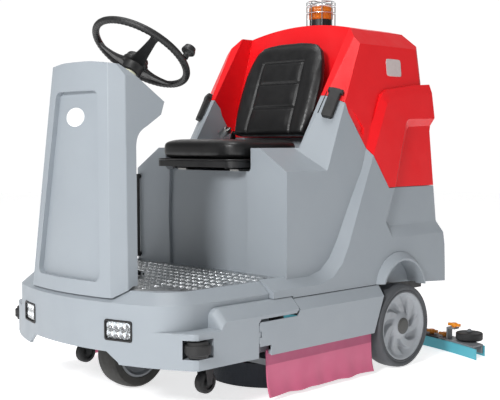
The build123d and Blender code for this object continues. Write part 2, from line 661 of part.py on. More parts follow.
for name, sign in SIDES.items():
    mid = sign * (REAR_WHEEL_FACE_X - REAR_WHEEL_W / 2)
    hub, tyre = wheel_pair(mid, REAR_WHEEL_Y, REAR_WHEEL_R, REAR_WHEEL_R, REAR_RIM_R - 4, REAR_WHEEL_W,
                           AXLE_R + RUN_FIT, 26, 7, 30, sign)
    write(hub, f"rear_wheel_hub_{name}")
    write(tyre, f"rear_tyre_{name}")
hub, tyre = wheel_pair(0, DRIVE_Y, DRIVE_R, DRIVE_R, 86, DRIVE_W, AXLE_R + RUN_FIT, 22, 0, 30, 1)
write(hub, "drive_wheel_hub")
write(tyre, "drive_tyre")
for name, sign in SIDES.items():
    with BuildPart() as caster_wheel:
        with BuildSketch(Plane.YZ):
            Circle(CASTER_R)
            Circle(6 + RUN_FIT, mode=Mode.SUBTRACT)
        extrude(amount=CASTER_W / 2, both=True)
        fillet(caster_wheel.edges().filter_by(lambda e: e.radius > CASTER_R - 1
                                              if e.geom_type == GeomType.CIRCLE else False), 10)
        with BuildSketch(Plane.YZ.offset(CASTER_W / 2)):
            Circle(CASTER_R - 15)
            Circle(12, mode=Mode.SUBTRACT)
        extrude(amount=-6, mode=Mode.SUBTRACT)
    write(Location((sign * CASTER_X, CASTER_Y, CASTER_Z)) * caster_wheel.part, f"caster_wheel_{name}")
    with BuildPart() as bumper_roller:
        with Locations((sign * ROLLER_X, ROLLER_Y, ROLLER_Z)):
            Cylinder(ROLLER_R, ROLLER_H - 18)
            Cylinder(ROLLER_R - 7, ROLLER_H)
            Cylinder(ROLLER_PIN_R + RUN_FIT, ROLLER_H + 2, mode=Mode.SUBTRACT)
        fillet(bumper_roller.edges().filter_by(lambda e: e.geom_type == GeomType.CIRCLE
                                               and e.radius > ROLLER_R - 1), 4)
    write(bumper_roller.part, f"bumper_roller_{name}")

# ============================ body ==========================================
def polygon_prism(plane, points, amount):
    """Extrude a closed outline drawn on a plane, as a private part."""
    with BuildPart(mode=Mode.PRIVATE) as prism:
        with BuildSketch(plane):
            with BuildLine():
                Polyline(*points, points[0])
            make_face()
        extrude(amount=amount)
    return prism.part


WING_SLOPE = 0.62           # wing front edge, backward per unit of height
def wing_y(z):
    """Y of the inner front edge of the wings at height z."""
    return -12.0 + WING_SLOPE * (z - BLOCK_TOP_Z)


CORE_REAR_Y = 640.0
ROOF_REAR = (585.0, 1272.0)
core_side = [(BOX_FRONT_Y, BOX_LOW_Z), (BOX_FRONT_Y, BLOCK_TOP_Z), (-12.0, BLOCK_TOP_Z),
             (wing_y(1290), 1290), (wing_y(1290) + 30, 1310), (ROOF_REAR[0] - 60, 1310),
             (ROOF_REAR[0], 1262), (632, 1180), (CORE_REAR_Y, 1070), (CORE_REAR_Y, BOX_LOW_Z)]
with BuildPart(mode=Mode.PRIVATE) as body_core:
    with BuildSketch(side_plane(-CORE_HALF)):
        with BuildLine():
            Polyline(*core_side, core_side[0])
        make_face()
    extrude(amount=2 * CORE_HALF)
    # front view: drafted sides, bevelled shoulders and a crowned roof
    front_view_plane = Plane(origin=(0, -300, 0), x_dir=(1, 0, 0), z_dir=(0, -1, 0))
    with BuildSketch(front_view_plane):
        with BuildLine():
            Polyline((-ROOF_EDGE_HALF, ROOF_EDGE_Z), (-CORE_TOP_HALF, SHOULDER_Z),
                     (-CORE_HALF, DRAFT_Z), (-CORE_HALF, 300), (CORE_HALF, 300), (CORE_HALF, DRAFT_Z),
                     (CORE_TOP_HALF, SHOULDER_Z), (ROOF_EDGE_HALF, ROOF_EDGE_Z))
            ThreePointArc((ROOF_EDGE_HALF, ROOF_EDGE_Z), (0, ROOF_Z), (-ROOF_EDGE_HALF, ROOF_EDGE_Z))
        make_face()
    extrude(amount=-1000, mode=Mode.INTERSECT)
    # wing fronts: one plane each side, through three points of the wing
    for sign in (1, -1):
        a = Vector(sign * CORE_HALF, 12, DRAFT_Z)
        b = Vector(sign * 287, -12, 820)
        c = Vector(sign * CORE_HALF, 273, 1203)
        normal = ((c - a).cross(b - a)).normalized() * sign
        if normal.Y > 0:
            normal = normal * -1
        facet = Plane(origin=a, z_dir=normal)
        with BuildPart(mode=Mode.PRIVATE) as off:
            with BuildSketch(facet):
                Rectangle(2400, 2400)
            extrude(amount=400)
            block_top = polygon_prism(side_plane(-500), [(-900, 100), (-900, BLOCK_TOP_Z),
                                                         (-12, BLOCK_TOP_Z), (300, BLOCK_TOP_Z),
                                                         (300, 100)], 1000)
            add(block_top, mode=Mode.SUBTRACT)
        add(off.part, mode=Mode.SUBTRACT)
        # outer top of the seat box slopes down to the side, in front of the wing facet
        slope = polygon_prism(Plane.XZ.offset(-400), [(sign * 270, BLOCK_TOP_Z), (sign * 520, BLOCK_TOP_Z),
                                                     (sign * 520, DRAFT_Z - 82),
                                                     (sign * CORE_HALF, DRAFT_Z - 6)], 900)
        keep = polygon_prism(facet, [(-1200, -1200), (1200, -1200), (1200, 1200), (-1200, 1200)], -900)
        with BuildPart(mode=Mode.PRIVATE) as wedge:
            add(slope)
            add(keep, mode=Mode.SUBTRACT)
        add(wedge.part, mode=Mode.SUBTRACT)
    rear = body_core.edges().filter_by(lambda e: e.length > 90 and e.center().Y > 625
                                       and abs(e.center().X) > 340 and e.center().Z < 1185)
    fillet(rear, 50)

# raised lower body: its outline in side view at the foot plane of the flank
flank_foot = [(700, 288), (250, 318), (FENDER_TAIL_Y + 8, 318), (FENDER_TAIL_Y + 8, FENDER_TOP_Z + SEAM),
              (STEP_REAR_Y + SEAM, FENDER_TOP_Z + SEAM)]
flank_low = [(STEP_REAR_Y + SEAM, 348), (-84, 348), (-12, 366), (42, 410),
             (84, 474), (165, 628), (253, 790), (352, 978), (380, 996), (560, 1024), (700, 1034)]
flank_low += flank_foot
flank_high = [(STEP_REAR_Y + SEAM, 381), (-92, 381), (-34, 396), (12, 432),
              (50, 488), (130, 646), (220, 812), (338, 1016), (372, 1034), (552, 1058), (700, 1068)]
flank_high += flank_foot
FLANK_IN = 384.0


def flank(points_out, points_in, x_in, depth=0.0):
    """One raised side: lofted from an outline near the core to a smaller one on the tilted flank."""
    t = radians(FLANK_TILT)
    outer = Plane(origin=(FLANK_HALF - depth, 0, FLANK_FOOT_Z), x_dir=(0, 1, 0),
                  z_dir=(cos(t), 0, sin(t)))
    with BuildPart(mode=Mode.PRIVATE) as side:
        with BuildSketch(side_plane(x_in)):
            with BuildLine():
                Polyline(*points_in, points_in[0])
            make_face()
        with BuildSketch(outer):
            with BuildLine():
                pts = [(y, (z - FLANK_FOOT_Z) / cos(t)) for y, z in points_out]
                Polyline(*pts, pts[0])
            make_face()
        loft(ruled=True)
    return side.part


pocket_out = [(299, 543), (374, 676), (462, 912), (480, 926), (760, 934), (760, 478), (338, 478)]
pocket_in = [(330, 540), (402, 679), (486, 884), (500, 896), (760, 906), (760, 524), (346, 524)]
POCKET = 17.0
with BuildPart(mode=Mode.PRIVATE) as body_form:
    add(body_core.part)
    middle = polygon_prism(side_plane(-FLANK_IN), [(-12, BOX_LOW_Z), (338, 1016), (372, 1034),
                                                   (552, 1058), (700, 1068), (700, 288), (420, 300)],
                           2 * FLANK_IN)
    add(middle)
    raised = flank(flank_low, flank_high, FLANK_IN)
    t = radians(FLANK_TILT)
    with BuildPart(mode=Mode.PRIVATE) as pocket_cut:
        for depth, outline in ((-0.5, pocket_out), (POCKET, pocket_in)):
            with BuildSketch(Plane(origin=(FLANK_HALF - depth, 0, FLANK_FOOT_Z), x_dir=(0, 1, 0),
                                   z_dir=(cos(t), 0, sin(t)))):
                with BuildLine():
                    pts = [(y, (z - FLANK_FOOT_Z) / cos(t)) for y, z in outline]
                    Polyline(*pts, pts[0])
                make_face()
        loft(ruled=True)
    with BuildPart(mode=Mode.PRIVATE) as flank_side:
        add(raised)
        add(pocket_cut.part, mode=Mode.SUBTRACT)
    add(flank_side.part)
    add(mirrored(flank_side.part))
    # plan and rear outline: rounded corners, and a rear wall that leans in with height
    with BuildSketch(Plane.XY) as plan:
        with Locations((0, 690 - 700)):
            Rectangle(940, 1400)
        fillet(plan.vertices().sort_by(Axis.Y)[-2:], REAR_CORNER_R)
    extrude(amount=1400, mode=Mode.INTERSECT)
    rear_cut = polygon_prism(side_plane(-500), [(692, 250), (668, 486), (646, 530), (638, 880),
                                                (654, 935), (646, 1030), (600, 1400), (900, 1400),
                                                (900, 250)], 1000)
    add(rear_cut, mode=Mode.SUBTRACT)

# ---- split into the grey solution tank and the red recovery tank -------------------
seam_line = [(335, 668), (148, 945), (138, 975), (98, 1017), (30, 1064), (-400, 1064), (-400, 1500),
             (1000, 1500), (1000, 668)]
with BuildPart(mode=Mode.PRIVATE) as seat_recess:
    with Locations((0, -20, (SEAT_FLOOR_Z + 840) / 2)):
        Box(2 * BLOCK_IN, 400, 840 - SEAT_FLOOR_Z)
    fillet(seat_recess.edges().filter_by(Axis.Y), 14)
    add(polygon_prism(side_plane(-WING_IN), [(-300, BLOCK_TOP_Z), (195, BLOCK_TOP_Z), (208, 860),
                                             (323, 1262), (340, 1330), (-300, 1330)], 2 * WING_IN))
with BuildPart() as recovery_tank:
    add(body_form.part)
    add(polygon_prism(side_plane(-500), seam_line, 1000), mode=Mode.INTERSECT)
    add(seat_recess.part, mode=Mode.SUBTRACT)
    # drain housing across the rear
    with BuildPart(mode=Mode.PRIVATE) as housing:
        add(polygon_prism(side_plane(-322), [(600, 668), (705, 680), (735, 716), (735, 800), (700, 846),
                                             (600, 890)], 644))
        chamfer(housing.edges().filter_by(Axis.Z).sort_by(Axis.Y)[-2:], 34)
    add(housing.part)
    # inside of the tank, open below where it closes on the body
    add(polygon_prism(side_plane(-328), [(372, 640), (372, 700), (236, 880), (322, 1190), (350, 1218),
                                         (560, 1218), (596, 1150), (612, 880), (612, 640)], 656),
        mode=Mode.SUBTRACT)
    # hand holds let into both sides at the joint line
    for sign in (1, -1):
        add(polygon_prism(side_plane(sign * 378), [(140, 950), (170, 956), (232, 886), (224, 860),
                                                 (170, 900)], sign * 40), mode=Mode.SUBTRACT)
write(recovery_tank.part, "recovery_tank")

with BuildPart() as solution_tank:
    add(body_form.part)
    lowered = [(y - 1.0, z - SEAM) for y, z in seam_line]
    add(polygon_prism(side_plane(-500), lowered, 1000), mode=Mode.SUBTRACT)
    add(seat_recess.part, mode=Mode.SUBTRACT)
    # shallow leg recess in the front wall
    add(polygon_prism(Plane.XZ.offset(-BOX_FRONT_Y - 12), [(-206, DECK_Z - 1), (206, DECK_Z - 1), (214, 560),
                                                          (206, SEAT_FLOOR_Z + 1), (-206, SEAT_FLOOR_Z + 1),
                                                          (-214, 560)], 20), mode=Mode.SUBTRACT)
    # battery bay, open below
    add(polygon_prism(side_plane(-380), [(-180, 200), (-180, SEAT_FLOOR_Z - 10), (190, SEAT_FLOOR_Z - 10),
                                         (250, 700), (330, 640), (612, 640), (640, 200)], 760),
        mode=Mode.SUBTRACT)
    # rear wheel arches with their raised lips
    for sign in (1, -1):
        arch_axis = Axis((0, ARCH_Y, ARCH_Z), (1, 0, 0))
        with BuildPart(mode=Mode.PRIVATE) as lip:
            with BuildSketch(Plane(origin=(0, ARCH_Y, ARCH_Z), x_dir=(1, 0, 0), z_dir=(0, -1, 0))):
                with BuildLine():
                    Polyline((432, ARCH_LIP_R), (449, ARCH_LIP_R), (ARCH_LIP_X, ARCH_R + 8),
                             (ARCH_LIP_X, ARCH_R), (432, ARCH_R), (432, ARCH_LIP_R))
                make_face()
            revolve(axis=arch_axis)
            add(polygon_prism(side_plane(400), [(0, 0), (0, 318), (250, 318), (ARCH_Y, 300), (760, 288),
                                                 (760, 0)], 100), mode=Mode.SUBTRACT)
        add(lip.part if sign > 0 else mirrored(lip.part))
        with BuildSketch(side_plane(sign * 398)):
            with Locations((ARCH_Y, ARCH_Z)):
                Circle(ARCH_R)
        extrude(amount=sign * 90, mode=Mode.SUBTRACT)
write(solution_tank.part, "solution_tank")

# ---- beacon --------------------------------------------------------------------------
BEACON_Y = 431.0
BEACON_R = 48.0
BEACON_TOP = 1404.0
with BuildPart() as beacon_base:
    with BuildSketch(Plane.XY.offset(ROOF_Z + FIT)):
        with Locations((0, BEACON_Y)):
            Circle(BEACON_R + 3)
    extrude(amount=6)
    with BuildSketch(Plane.XY.offset(ROOF_Z + FIT)):
        with Locations((0, BEACON_Y)):
            Circle(BEACON_R - 2)
    extrude(amount=32)
with BuildPart() as beacon_lens:
    with BuildSketch(Plane.XY.offset(ROOF_Z + FIT + 32)):
        with Locations((0, BEACON_Y)):
            Circle(BEACON_R)
    extrude(amount=54)
    fillet(beacon_lens.faces().sort_by(Axis.Z)[-1].edges(), 9)
    with BuildSketch(Plane.XY.offset(ROOF_Z + FIT + 36)):
        with Locations((0, BEACON_Y)):
            with PolarLocations(BEACON_R, 40):
                Circle(1.3)
    extrude(amount=36, mode=Mode.SUBTRACT)
GUARD_R = 58.0
WIRE_R = 2.2
with BuildPart() as beacon_guard:
    for z, r in ((ROOF_Z + FIT + 3, GUARD_R), (ROOF_Z + 58, GUARD_R), (ROOF_Z + 86, GUARD_R),
                 (BEACON_TOP - WIRE_R, GUARD_R - 4)):
        with BuildSketch(Plane.XZ.offset(-BEACON_Y)):
            with Locations((r, z)):
                Circle(WIRE_R)
        revolve(axis=Axis((0, BEACON_Y, 0), (0, 0, 1)))
    with Locations((0, BEACON_Y, 0)):
        with PolarLocations(GUARD_R - 1, 8):
            with Locations((0, 0, (ROOF_Z + BEACON_TOP) / 2)):
                Cylinder(WIRE_R, BEACON_TOP - ROOF_Z - 6)
    with Locations((0, BEACON_Y, BEACON_TOP - WIRE_R)):
        Box(2 * GUARD_R - 8, 3.2, 3.2)
        Box(3.2, 2 * GUARD_R - 8, 3.2)
    with Locations((0, BEACON_Y, ROOF_Z + FIT + 1.5)):
        Cylinder(GUARD_R, 3)
        Cylinder(BEACON_R + 3 + FIT, 3, mode=Mode.SUBTRACT)
write(beacon_base.part, "beacon_base")
write(beacon_lens.part, "beacon_lens")
write(beacon_guard.part, "beacon_guard")

with BuildPart() as vacuum_motor:
    with Locations((0, 470, 1110)):
        Cylinder(72, 90)
        Cylinder(45, 156)
    with Locations((0, 470, 1202.6)):
        Box(220, 110, 30)
write(vacuum_motor.part, "vacuum_motor")

# ---- rubber latches over the joint, on the wing fronts -------------------------------
wing_a = Vector(CORE_HALF, 12, DRAFT_Z)
wing_b = Vector(287, -12, 820)
wing_c = Vector(CORE_HALF, 273, 1203)
wing_normal = (wing_c - wing_a).cross(wing_b - wing_a).normalized()
if wing_normal.Y > 0:
    wing_normal = wing_normal * -1
wing_up = (wing_c - wing_a).normalized()
latch_mid = Vector(337, 0, 974)
latch_mid = Vector(latch_mid.X, wing_a.Y - (wing_normal.X * (latch_mid.X - wing_a.X)
                                            + wing_normal.Z * (latch_mid.Z - wing_a.Z)) / wing_normal.Y,
                   latch_mid.Z)
LATCH_L = 118.0
LATCH_W = 42.0
with BuildPart() as latch:
    with BuildSketch(Plane(origin=latch_mid + wing_normal * FIT, x_dir=wing_up, z_dir=wing_normal)):
        RectangleRounded(LATCH_L, LATCH_W, 9)
        with Locations((LATCH_L / 2 - 10, 0)):
            Rectangle(16, LATCH_W + 14)
    extrude(amount=19)
    fillet(latch.faces().sort_by(lambda f: f.center().dot(wing_normal))[-1].outer_wire().edges(), 4)
write(latch.part, "latch_left")
write(mirrored(latch.part), "latch_right")

# ============================ seat ==========================================
SEAT_HALF = 218.0
SEAT_FRONT_Y = -278.0
SEAT_REAR_Y = 142.0
PAN_Z = 748.0
PAN_T = 22.0
CUSHION_TOP_Z = 860.0
RAIL_X = 140.0
with BuildPart() as seat_runners:
    for sign in (1, -1):
        with Locations((sign * RAIL_X, -60, SEAT_FLOOR_Z + 3)):
            Box(44, 270, 6)
        with Locations((sign * RAIL_X, -60, SEAT_FLOOR_Z + 8)):
            Box(16, 270, 6)
write(seat_runners.part, "seat_runners")
BACK_HINGE = (136.0, 872.0)  # Y and Z of the backrest's pivot
BACK_PIN_R = 5.0
BACK_EAR_X = 203.0
with BuildPart() as seat_pan:
    with BuildSketch(Plane.XY.offset(PAN_Z)):
        with Locations((0, (SEAT_FRONT_Y + SEAT_REAR_Y) / 2)):
            RectangleRounded(2 * SEAT_HALF - 14, SEAT_REAR_Y - SEAT_FRONT_Y - 14, 40)
    extrude(amount=PAN_T)
    for sign in (1, -1):
        for side in (1, -1):
            with Locations((sign * RAIL_X + side * 13, -80, PAN_Z - 3.6)):
                Box(9, 290, 7.4)
    # hinge ears and pins of the backrest
    for sign in (1, -1):
        with BuildSketch(side_plane(sign * BACK_EAR_X)):
            with BuildLine():
                Polyline((90, PAN_Z + 2), (138, PAN_Z + 2), (146, 872), (141, 881), (131, 881),
                         (124, 872), (90, PAN_Z + 2))
            make_face()
        extrude(amount=sign * 4)
        with BuildSketch(side_plane(sign * (BACK_EAR_X + 4))):
            with Locations(BACK_HINGE):
                Circle(BACK_PIN_R)
        extrude(amount=-sign * 20)
write(seat_pan.part, "seat_pan")
with BuildPart() as seat_cushion:
    with BuildSketch(Plane.XY.offset(PAN_Z + PAN_T + FIT)):
        with Locations((0, (SEAT_FRONT_Y + SEAT_REAR_Y) / 2 - 18)):
            RectangleRounded(2 * SEAT_HALF, SEAT_REAR_Y - SEAT_FRONT_Y - 36, 60)
    extrude(amount=CUSHION_TOP_Z - PAN_Z - PAN_T - FIT)
    fillet(seat_cushion.faces().sort_by(Axis.Z)[-1].edges(), 34)
    # clear of the hinge ears
    for sign in (1, -1):
        with Locations((sign * (SEAT_HALF - 14), 112, 820)):
            Box(40, 70, 110, mode=Mode.SUBTRACT)
write(seat_cushion.part, "seat_cushion")
BACK_TILT = 19.4
back_plane = Plane(origin=(0, 100, 868), x_dir=(1, 0, 0),
                   z_dir=(0, -cos(radians(BACK_TILT)), sin(radians(BACK_TILT))))
with BuildPart() as seat_backrest:
    with BuildSketch(back_plane):
        with BuildLine():
            Polyline((-196, 0), (-218, 110), (-214, 240), (-172, 376))
            Spline((-172, 376), (0, 398), (172, 376), tangents=((0.9, 0.45), (0.9, -0.45)))
            Polyline((172, 376), (214, 240), (218, 110), (196, 0), (-196, 0))
        make_face()
    extrude(amount=-64)
    back_face = seat_backrest.faces().sort_by(lambda f: f.center().Y)[0]
    fillet(back_face.edges(), 16)
    for sign in (1, -1):
        with BuildSketch(side_plane(sign * (BACK_EAR_X + 20))):
            with Locations(BACK_HINGE):
                Circle(BACK_PIN_R + RUN_FIT)
        extrude(amount=-sign * 38, mode=Mode.SUBTRACT)
write(seat_backrest.part, "seat_backrest")
with BuildPart() as backrest_knob:
    with Locations(Location((-237.3, 118, 875.2), (0, 62, 30))):
        Cylinder(17, 44)
        Cylinder(5, 37.6, align=(Align.CENTER, Align.CENTER, Align.MIN))
write(backrest_knob.part, "backrest_knob")

# ============================ pedals ========================================
PEDAL_L = 118.0
PEDAL_RISE = 24.0           # degrees above the footplate at rest
for name, (x, width) in PEDALS.items():
    tilt = radians(PEDAL_RISE)
    with BuildPart() as pedal:
        with BuildSketch(side_plane(x - width / 2)):
            with BuildLine():
                ahead, up = Vector(-cos(tilt), sin(tilt)), Vector(sin(tilt), cos(tilt))
                pin = Vector(PEDAL_HINGE_Y, PEDAL_HINGE_Z)
                corners = [pin + up * 6, pin + ahead * PEDAL_L + up * 6, pin + ahead * PEDAL_L,
                           pin + ahead * (PEDAL_L - 8) - up * 2, pin - up * 2]
                Polyline(*[(c.X, c.Y) for c in corners], (corners[0].X, corners[0].Y))
            make_face()
            with Locations((PEDAL_HINGE_Y, PEDAL_HINGE_Z)):
                Circle(6.5)
        extrude(amount=width)
        with Locations(Location((x, PEDAL_HINGE_Y, PEDAL_HINGE_Z), (0, 90, 0))):
            Cylinder(PEDAL_PIN_R, width + 9)
        # raised tread bars
        for step in range(5):
            bar = pin + ahead * (28 + 18 * step) + up * 6.8
            with BuildSketch(side_plane(x - width / 2 + 6)):
                with Locations((bar.X, bar.Y)):
                    Rectangle(6, 3, rotation=-PEDAL_RISE)
            extrude(amount=width - 12)
    write(pedal.part, name)

# ============================ side covers and skirts ========================
COVER_T = 5.0
cover_outline = [(FENDER_REAR_Y + 5, 186), (FENDER_REAR_Y + 5, TAIL_LOW_Z - 10),
                 (FENDER_TAIL_Y - 12, TAIL_LOW_Z - 10), (FENDER_TAIL_Y + 5, TAIL_LOW_Z + 8),
                 (FENDER_TAIL_Y + 5, COVER_TOP_Z), (236, COVER_TOP_Z), (167, COVER_LOW_Z),
                 (-366, COVER_LOW_Z), (-366, 186)]
KNUCKLE_Z = (206.0, 244.0)
KNUCKLE_L = 18.0
with BuildPart() as cover:
    with BuildSketch(Plane.XZ.offset(-300)) as section:
        with BuildLine():
            Polyline((COVER_X, 100), (COVER_X, COVER_SIDE_Z), (COVER_IN_X, COVER_TOP_Z + 4),
                     (COVER_IN_X - 8, COVER_TOP_Z + 4), (COVER_X - COVER_T, COVER_SIDE_Z - 3),
                     (COVER_X - COVER_T, 100), (COVER_X, 100))
        make_face()
    extrude(amount=800)
    outline = polygon_prism(side_plane(400), cover_outline, 120)
    add(outline, mode=Mode.INTERSECT)
    # skirt clamp strip along the foot, and hinge knuckles at the front edge
    with Locations(((COVER_X - COVER_T + SKIRT_X) / 2, (SKIRT_FRONT_Y + 166) / 2, COVER_LOW_Z + 9)):
        Box(COVER_X - COVER_T - SKIRT_X, 160 - SKIRT_FRONT_Y - 10, 14)
    with Locations((COVER_HINGE_X, COVER_HINGE_Y, 225)):
        Box(16, 14, 20, mode=Mode.SUBTRACT)
    for z in KNUCKLE_Z:
        with Locations((COVER_HINGE_X, COVER_HINGE_Y, z)):
            Cylinder(4, KNUCKLE_L)
    with Locations((COVER_HINGE_X, COVER_HINGE_Y, 225)):
        Cylinder(HINGE_PIN_R + RUN_FIT, 80, mode=Mode.SUBTRACT)
with BuildPart() as skirt:
    with Locations((SKIRT_X - SKIRT_T / 2, (SKIRT_FRONT_Y + SKIRT_REAR_Y) / 2,
                    (SKIRT_LOW_Z + SKIRT_TOP_Z) / 2)):
        Box(SKIRT_T, SKIRT_REAR_Y - SKIRT_FRONT_Y, SKIRT_TOP_Z - SKIRT_LOW_Z)
for name, sign in SIDES.items():
    write(cover.part if sign > 0 else mirrored(cover.part), f"side_cover_{name}")
    write(skirt.part if sign > 0 else mirrored(skirt.part), f"splash_skirt_{name}")

# ============================ brush deck ====================================
DECK_PLATE_Z = 100.0
POST_R = 12.0
POST_AT = [(sign * 60.0, 30.0) for sign in (1, -1)]
with BuildPart() as brush_deck:
    with Locations((0, -100, DECK_PLATE_Z + 3)):
        Box(880, 435, 6)
    for side in (1, -1):
        with Locations((0, -100 + side * 216, DECK_PLATE_Z + 12)):
            Box(880, 3, 18)
    for x, y in POST_AT:
        with Locations((x, y, DECK_PLATE_Z + 6)):
            Cylinder(POST_R, 186, align=(Align.CENTER, Align.CENTER, Align.MIN))
    for sign in (1, -1):
        with Locations((sign * BRUSH_X, BRUSH_Y, DECK_PLATE_Z)):
            Cylinder(26, 30, mode=Mode.SUBTRACT)
write(brush_deck.part, "brush_deck")
with BuildPart() as brush_motors:
    for sign in (1, -1):
        with Locations((sign * BRUSH_X, BRUSH_Y, DECK_PLATE_Z + 6 + FIT)):
            Cylinder(74, 92, align=(Align.CENTER, Align.CENTER, Align.MIN))
            Cylinder(52, 128, align=(Align.CENTER, Align.CENTER, Align.MIN))
            Cylinder(SHAFT_R, 46, align=(Align.CENTER, Align.CENTER, Align.MAX))
write(brush_motors.part, "brush_motors")
for name, sign in SIDES.items():
    with BuildPart() as disc_brush:
        with BuildSketch(Plane.XZ):
            with BuildLine():
                bore = SHAFT_R + RUN_FIT
                Polyline((bore, 62), (96, 62), (100, 4), (BRUSH_R, 4), (BRUSH_R - 8, 64),
                         (BRUSH_R - 10, 84), (60, 84), (52, 96), (bore, 96), (bore, 62))
            make_face()
        revolve(axis=Axis.Z)
    write(Location((sign * BRUSH_X, BRUSH_Y, 0)) * disc_brush.part, f"disc_brush_{name}")

# ============================ squeegee ======================================
SQ_LOW_Z = 14.0
SQ_TOP_Z = 50.0
SQ_MIDDLE = 395.0
BLADE_T = 3.5
BLADE_HALF = 624.0
SQ_CENTRE = (0.0, SQ_Y - SQ_R)
SQ_PIN = (0.0, 790.0)
SQ_PIN_R = 9.0
SQ_ROLLER_AT = (522.0, 735.0)
SQ_ROLLER_R = 53.0


def ring_band(r_in, r_out, x_low, x_high, z_low, z_high):
    """A piece of the squeegee's arc between two radii and two X values."""
    with BuildPart(mode=Mode.PRIVATE) as band:
        with BuildSketch(Plane.XY.offset(z_low)):
            with Locations(SQ_CENTRE):
                Circle(r_out)
                Circle(r_in, mode=Mode.SUBTRACT)
            with Locations(((x_low + x_high) / 2, SQ_Y - 40)):
                Rectangle(x_high - x_low, 460, mode=Mode.INTERSECT)
        extrude(amount=z_high - z_low)
    return band.part


def squeegee_channel(x_low, x_high):
    """Channel section of the squeegee body: top plate and two clamping walls."""
    top = ring_band(SQ_R + BLADE_T, SQ_R + SQ_DEPTH - BLADE_T, x_low, x_high, SQ_TOP_Z - 6, SQ_TOP_Z)
    front = ring_band(SQ_R + BLADE_T, SQ_R + BLADE_T + 9, x_low, x_high, SQ_LOW_Z, SQ_TOP_Z)
    rear = ring_band(SQ_R + SQ_DEPTH - BLADE_T - 9, SQ_R + SQ_DEPTH - BLADE_T, x_low, x_high, SQ_LOW_Z,
                     SQ_TOP_Z)
    return top + front + rear


with BuildPart() as squeegee_body:
    add(squeegee_channel(-SQ_MIDDLE, SQ_MIDDLE))
    with Locations((0, SQ_PIN[1], SQ_TOP_Z)):
        Cylinder(24, 12, align=(Align.CENTER, Align.CENTER, Align.MIN))
        Cylinder(SQ_PIN_R, 36, align=(Align.CENTER, Align.CENTER, Align.MIN))
write(squeegee_body.part, "squeegee_body")
with BuildPart() as squeegee_ends:
    for sign in (1, -1):
        low, high = sorted((sign * (SQ_MIDDLE + FIT), sign * 600.0))
        add(squeegee_channel(low, high))
        # hooked bracket that carries the upper wing knob
        for a, b, z_low, z_high in ((438, 444, SQ_TOP_Z, 98), (438, 476, 92, 98)):
            with Locations((sign * (a + b) / 2, 716, (z_low + z_high) / 2)):
                Box(b - a, 34, z_high - z_low)
        with Locations((sign * SQ_ROLLER_AT[0], SQ_ROLLER_AT[1], SQ_TOP_Z - 6)):
            Box(44, 44, 6, align=(Align.CENTER, Align.CENTER, Align.MIN))
            Cylinder(6, 52, align=(Align.CENTER, Align.CENTER, Align.MIN))
            with Locations((0, 0, 42)):
                Cylinder(10, 6, align=(Align.CENTER, Align.CENTER, Align.MIN))
write(squeegee_ends.part, "squeegee_ends")
with BuildPart() as squeegee_blades:
    add(ring_band(SQ_R, SQ_R + BLADE_T, -BLADE_HALF, BLADE_HALF, 3, SQ_TOP_Z - 6))
    add(ring_band(SQ_R + SQ_DEPTH - BLADE_T, SQ_R + SQ_DEPTH, -BLADE_HALF + 16, BLADE_HALF - 16, 3,
                  SQ_TOP_Z - 6))
write(squeegee_blades.part, "squeegee_blades")
for name, sign in SIDES.items():
    with BuildPart() as squeegee_roller:
        with Locations((sign * SQ_ROLLER_AT[0], SQ_ROLLER_AT[1], SQ_TOP_Z + 3)):
            Cylinder(SQ_ROLLER_R, 30, align=(Align.CENTER, Align.CENTER, Align.MIN))
            Cylinder(6 + RUN_FIT, 40, mode=Mode.SUBTRACT, align=(Align.CENTER, Align.CENTER, Align.MIN))
        fillet(squeegee_roller.edges().filter_by(lambda e: e.geom_type == GeomType.CIRCLE
                                                 and e.radius > SQ_ROLLER_R - 1), 6)
    write(squeegee_roller.part, f"squeegee_roller_{name}")


def arc_height(x, out):
    """Y of the squeegee arc at X, moved outward from the front blade."""
    return SQ_CENTRE[1] + sqrt((SQ_R + out) ** 2 - x**2)


KNOB_AT = [(sign * x, arc_height(x, 38), SQ_TOP_Z) for sign in (1, -1) for x in (180.0, 330.0, 405.0)]
KNOB_AT += [(sign * 464.0, 716.0, 98.0) for sign in (1, -1)]
with BuildPart() as wing_knobs:
    for x, y, z in KNOB_AT:
        with Locations((x, y, z)):
            Cylinder(9, 12, align=(Align.CENTER, Align.CENTER, Align.MIN))
            with Locations((0, 0, 5)):
                Box(54, 10, 11, align=(Align.CENTER, Align.CENTER, Align.MIN))
                Cylinder(11, 13, align=(Align.CENTER, Align.CENTER, Align.MIN))
write(wing_knobs.part, "wing_knobs")
with BuildPart() as squeegee_arm:
    with BuildSketch(side_plane(-44)):
        with BuildLine():
            Polyline((SQ_PIVOT_Y - 18, SQ_PIVOT_Z - 4), (SQ_PIVOT_Y - 4, SQ_PIVOT_Z + 18),
                     (SQ_PIVOT_Y + 30, SQ_PIVOT_Z + 10), (760, 86), (SQ_PIN[1] + 24, 84),
                     (SQ_PIN[1] + 24, SQ_TOP_Z + 12.3), (748, SQ_TOP_Z + 12.3),
                     (SQ_PIVOT_Y + 6, SQ_PIVOT_Z - 24), (SQ_PIVOT_Y - 18, SQ_PIVOT_Z - 4))
        make_face()
    extrude(amount=88)
    with BuildSketch(Plane.XY.offset(40)):
        with Locations(SQ_PIN):
            Circle(SQ_PIN_R + RUN_FIT)
    extrude(amount=90, mode=Mode.SUBTRACT)
    with Locations(Location((0, SQ_PIVOT_Y, SQ_PIVOT_Z), (0, 90, 0))):
        Cylinder(8, 124)
write(squeegee_arm.part, "squeegee_arm")

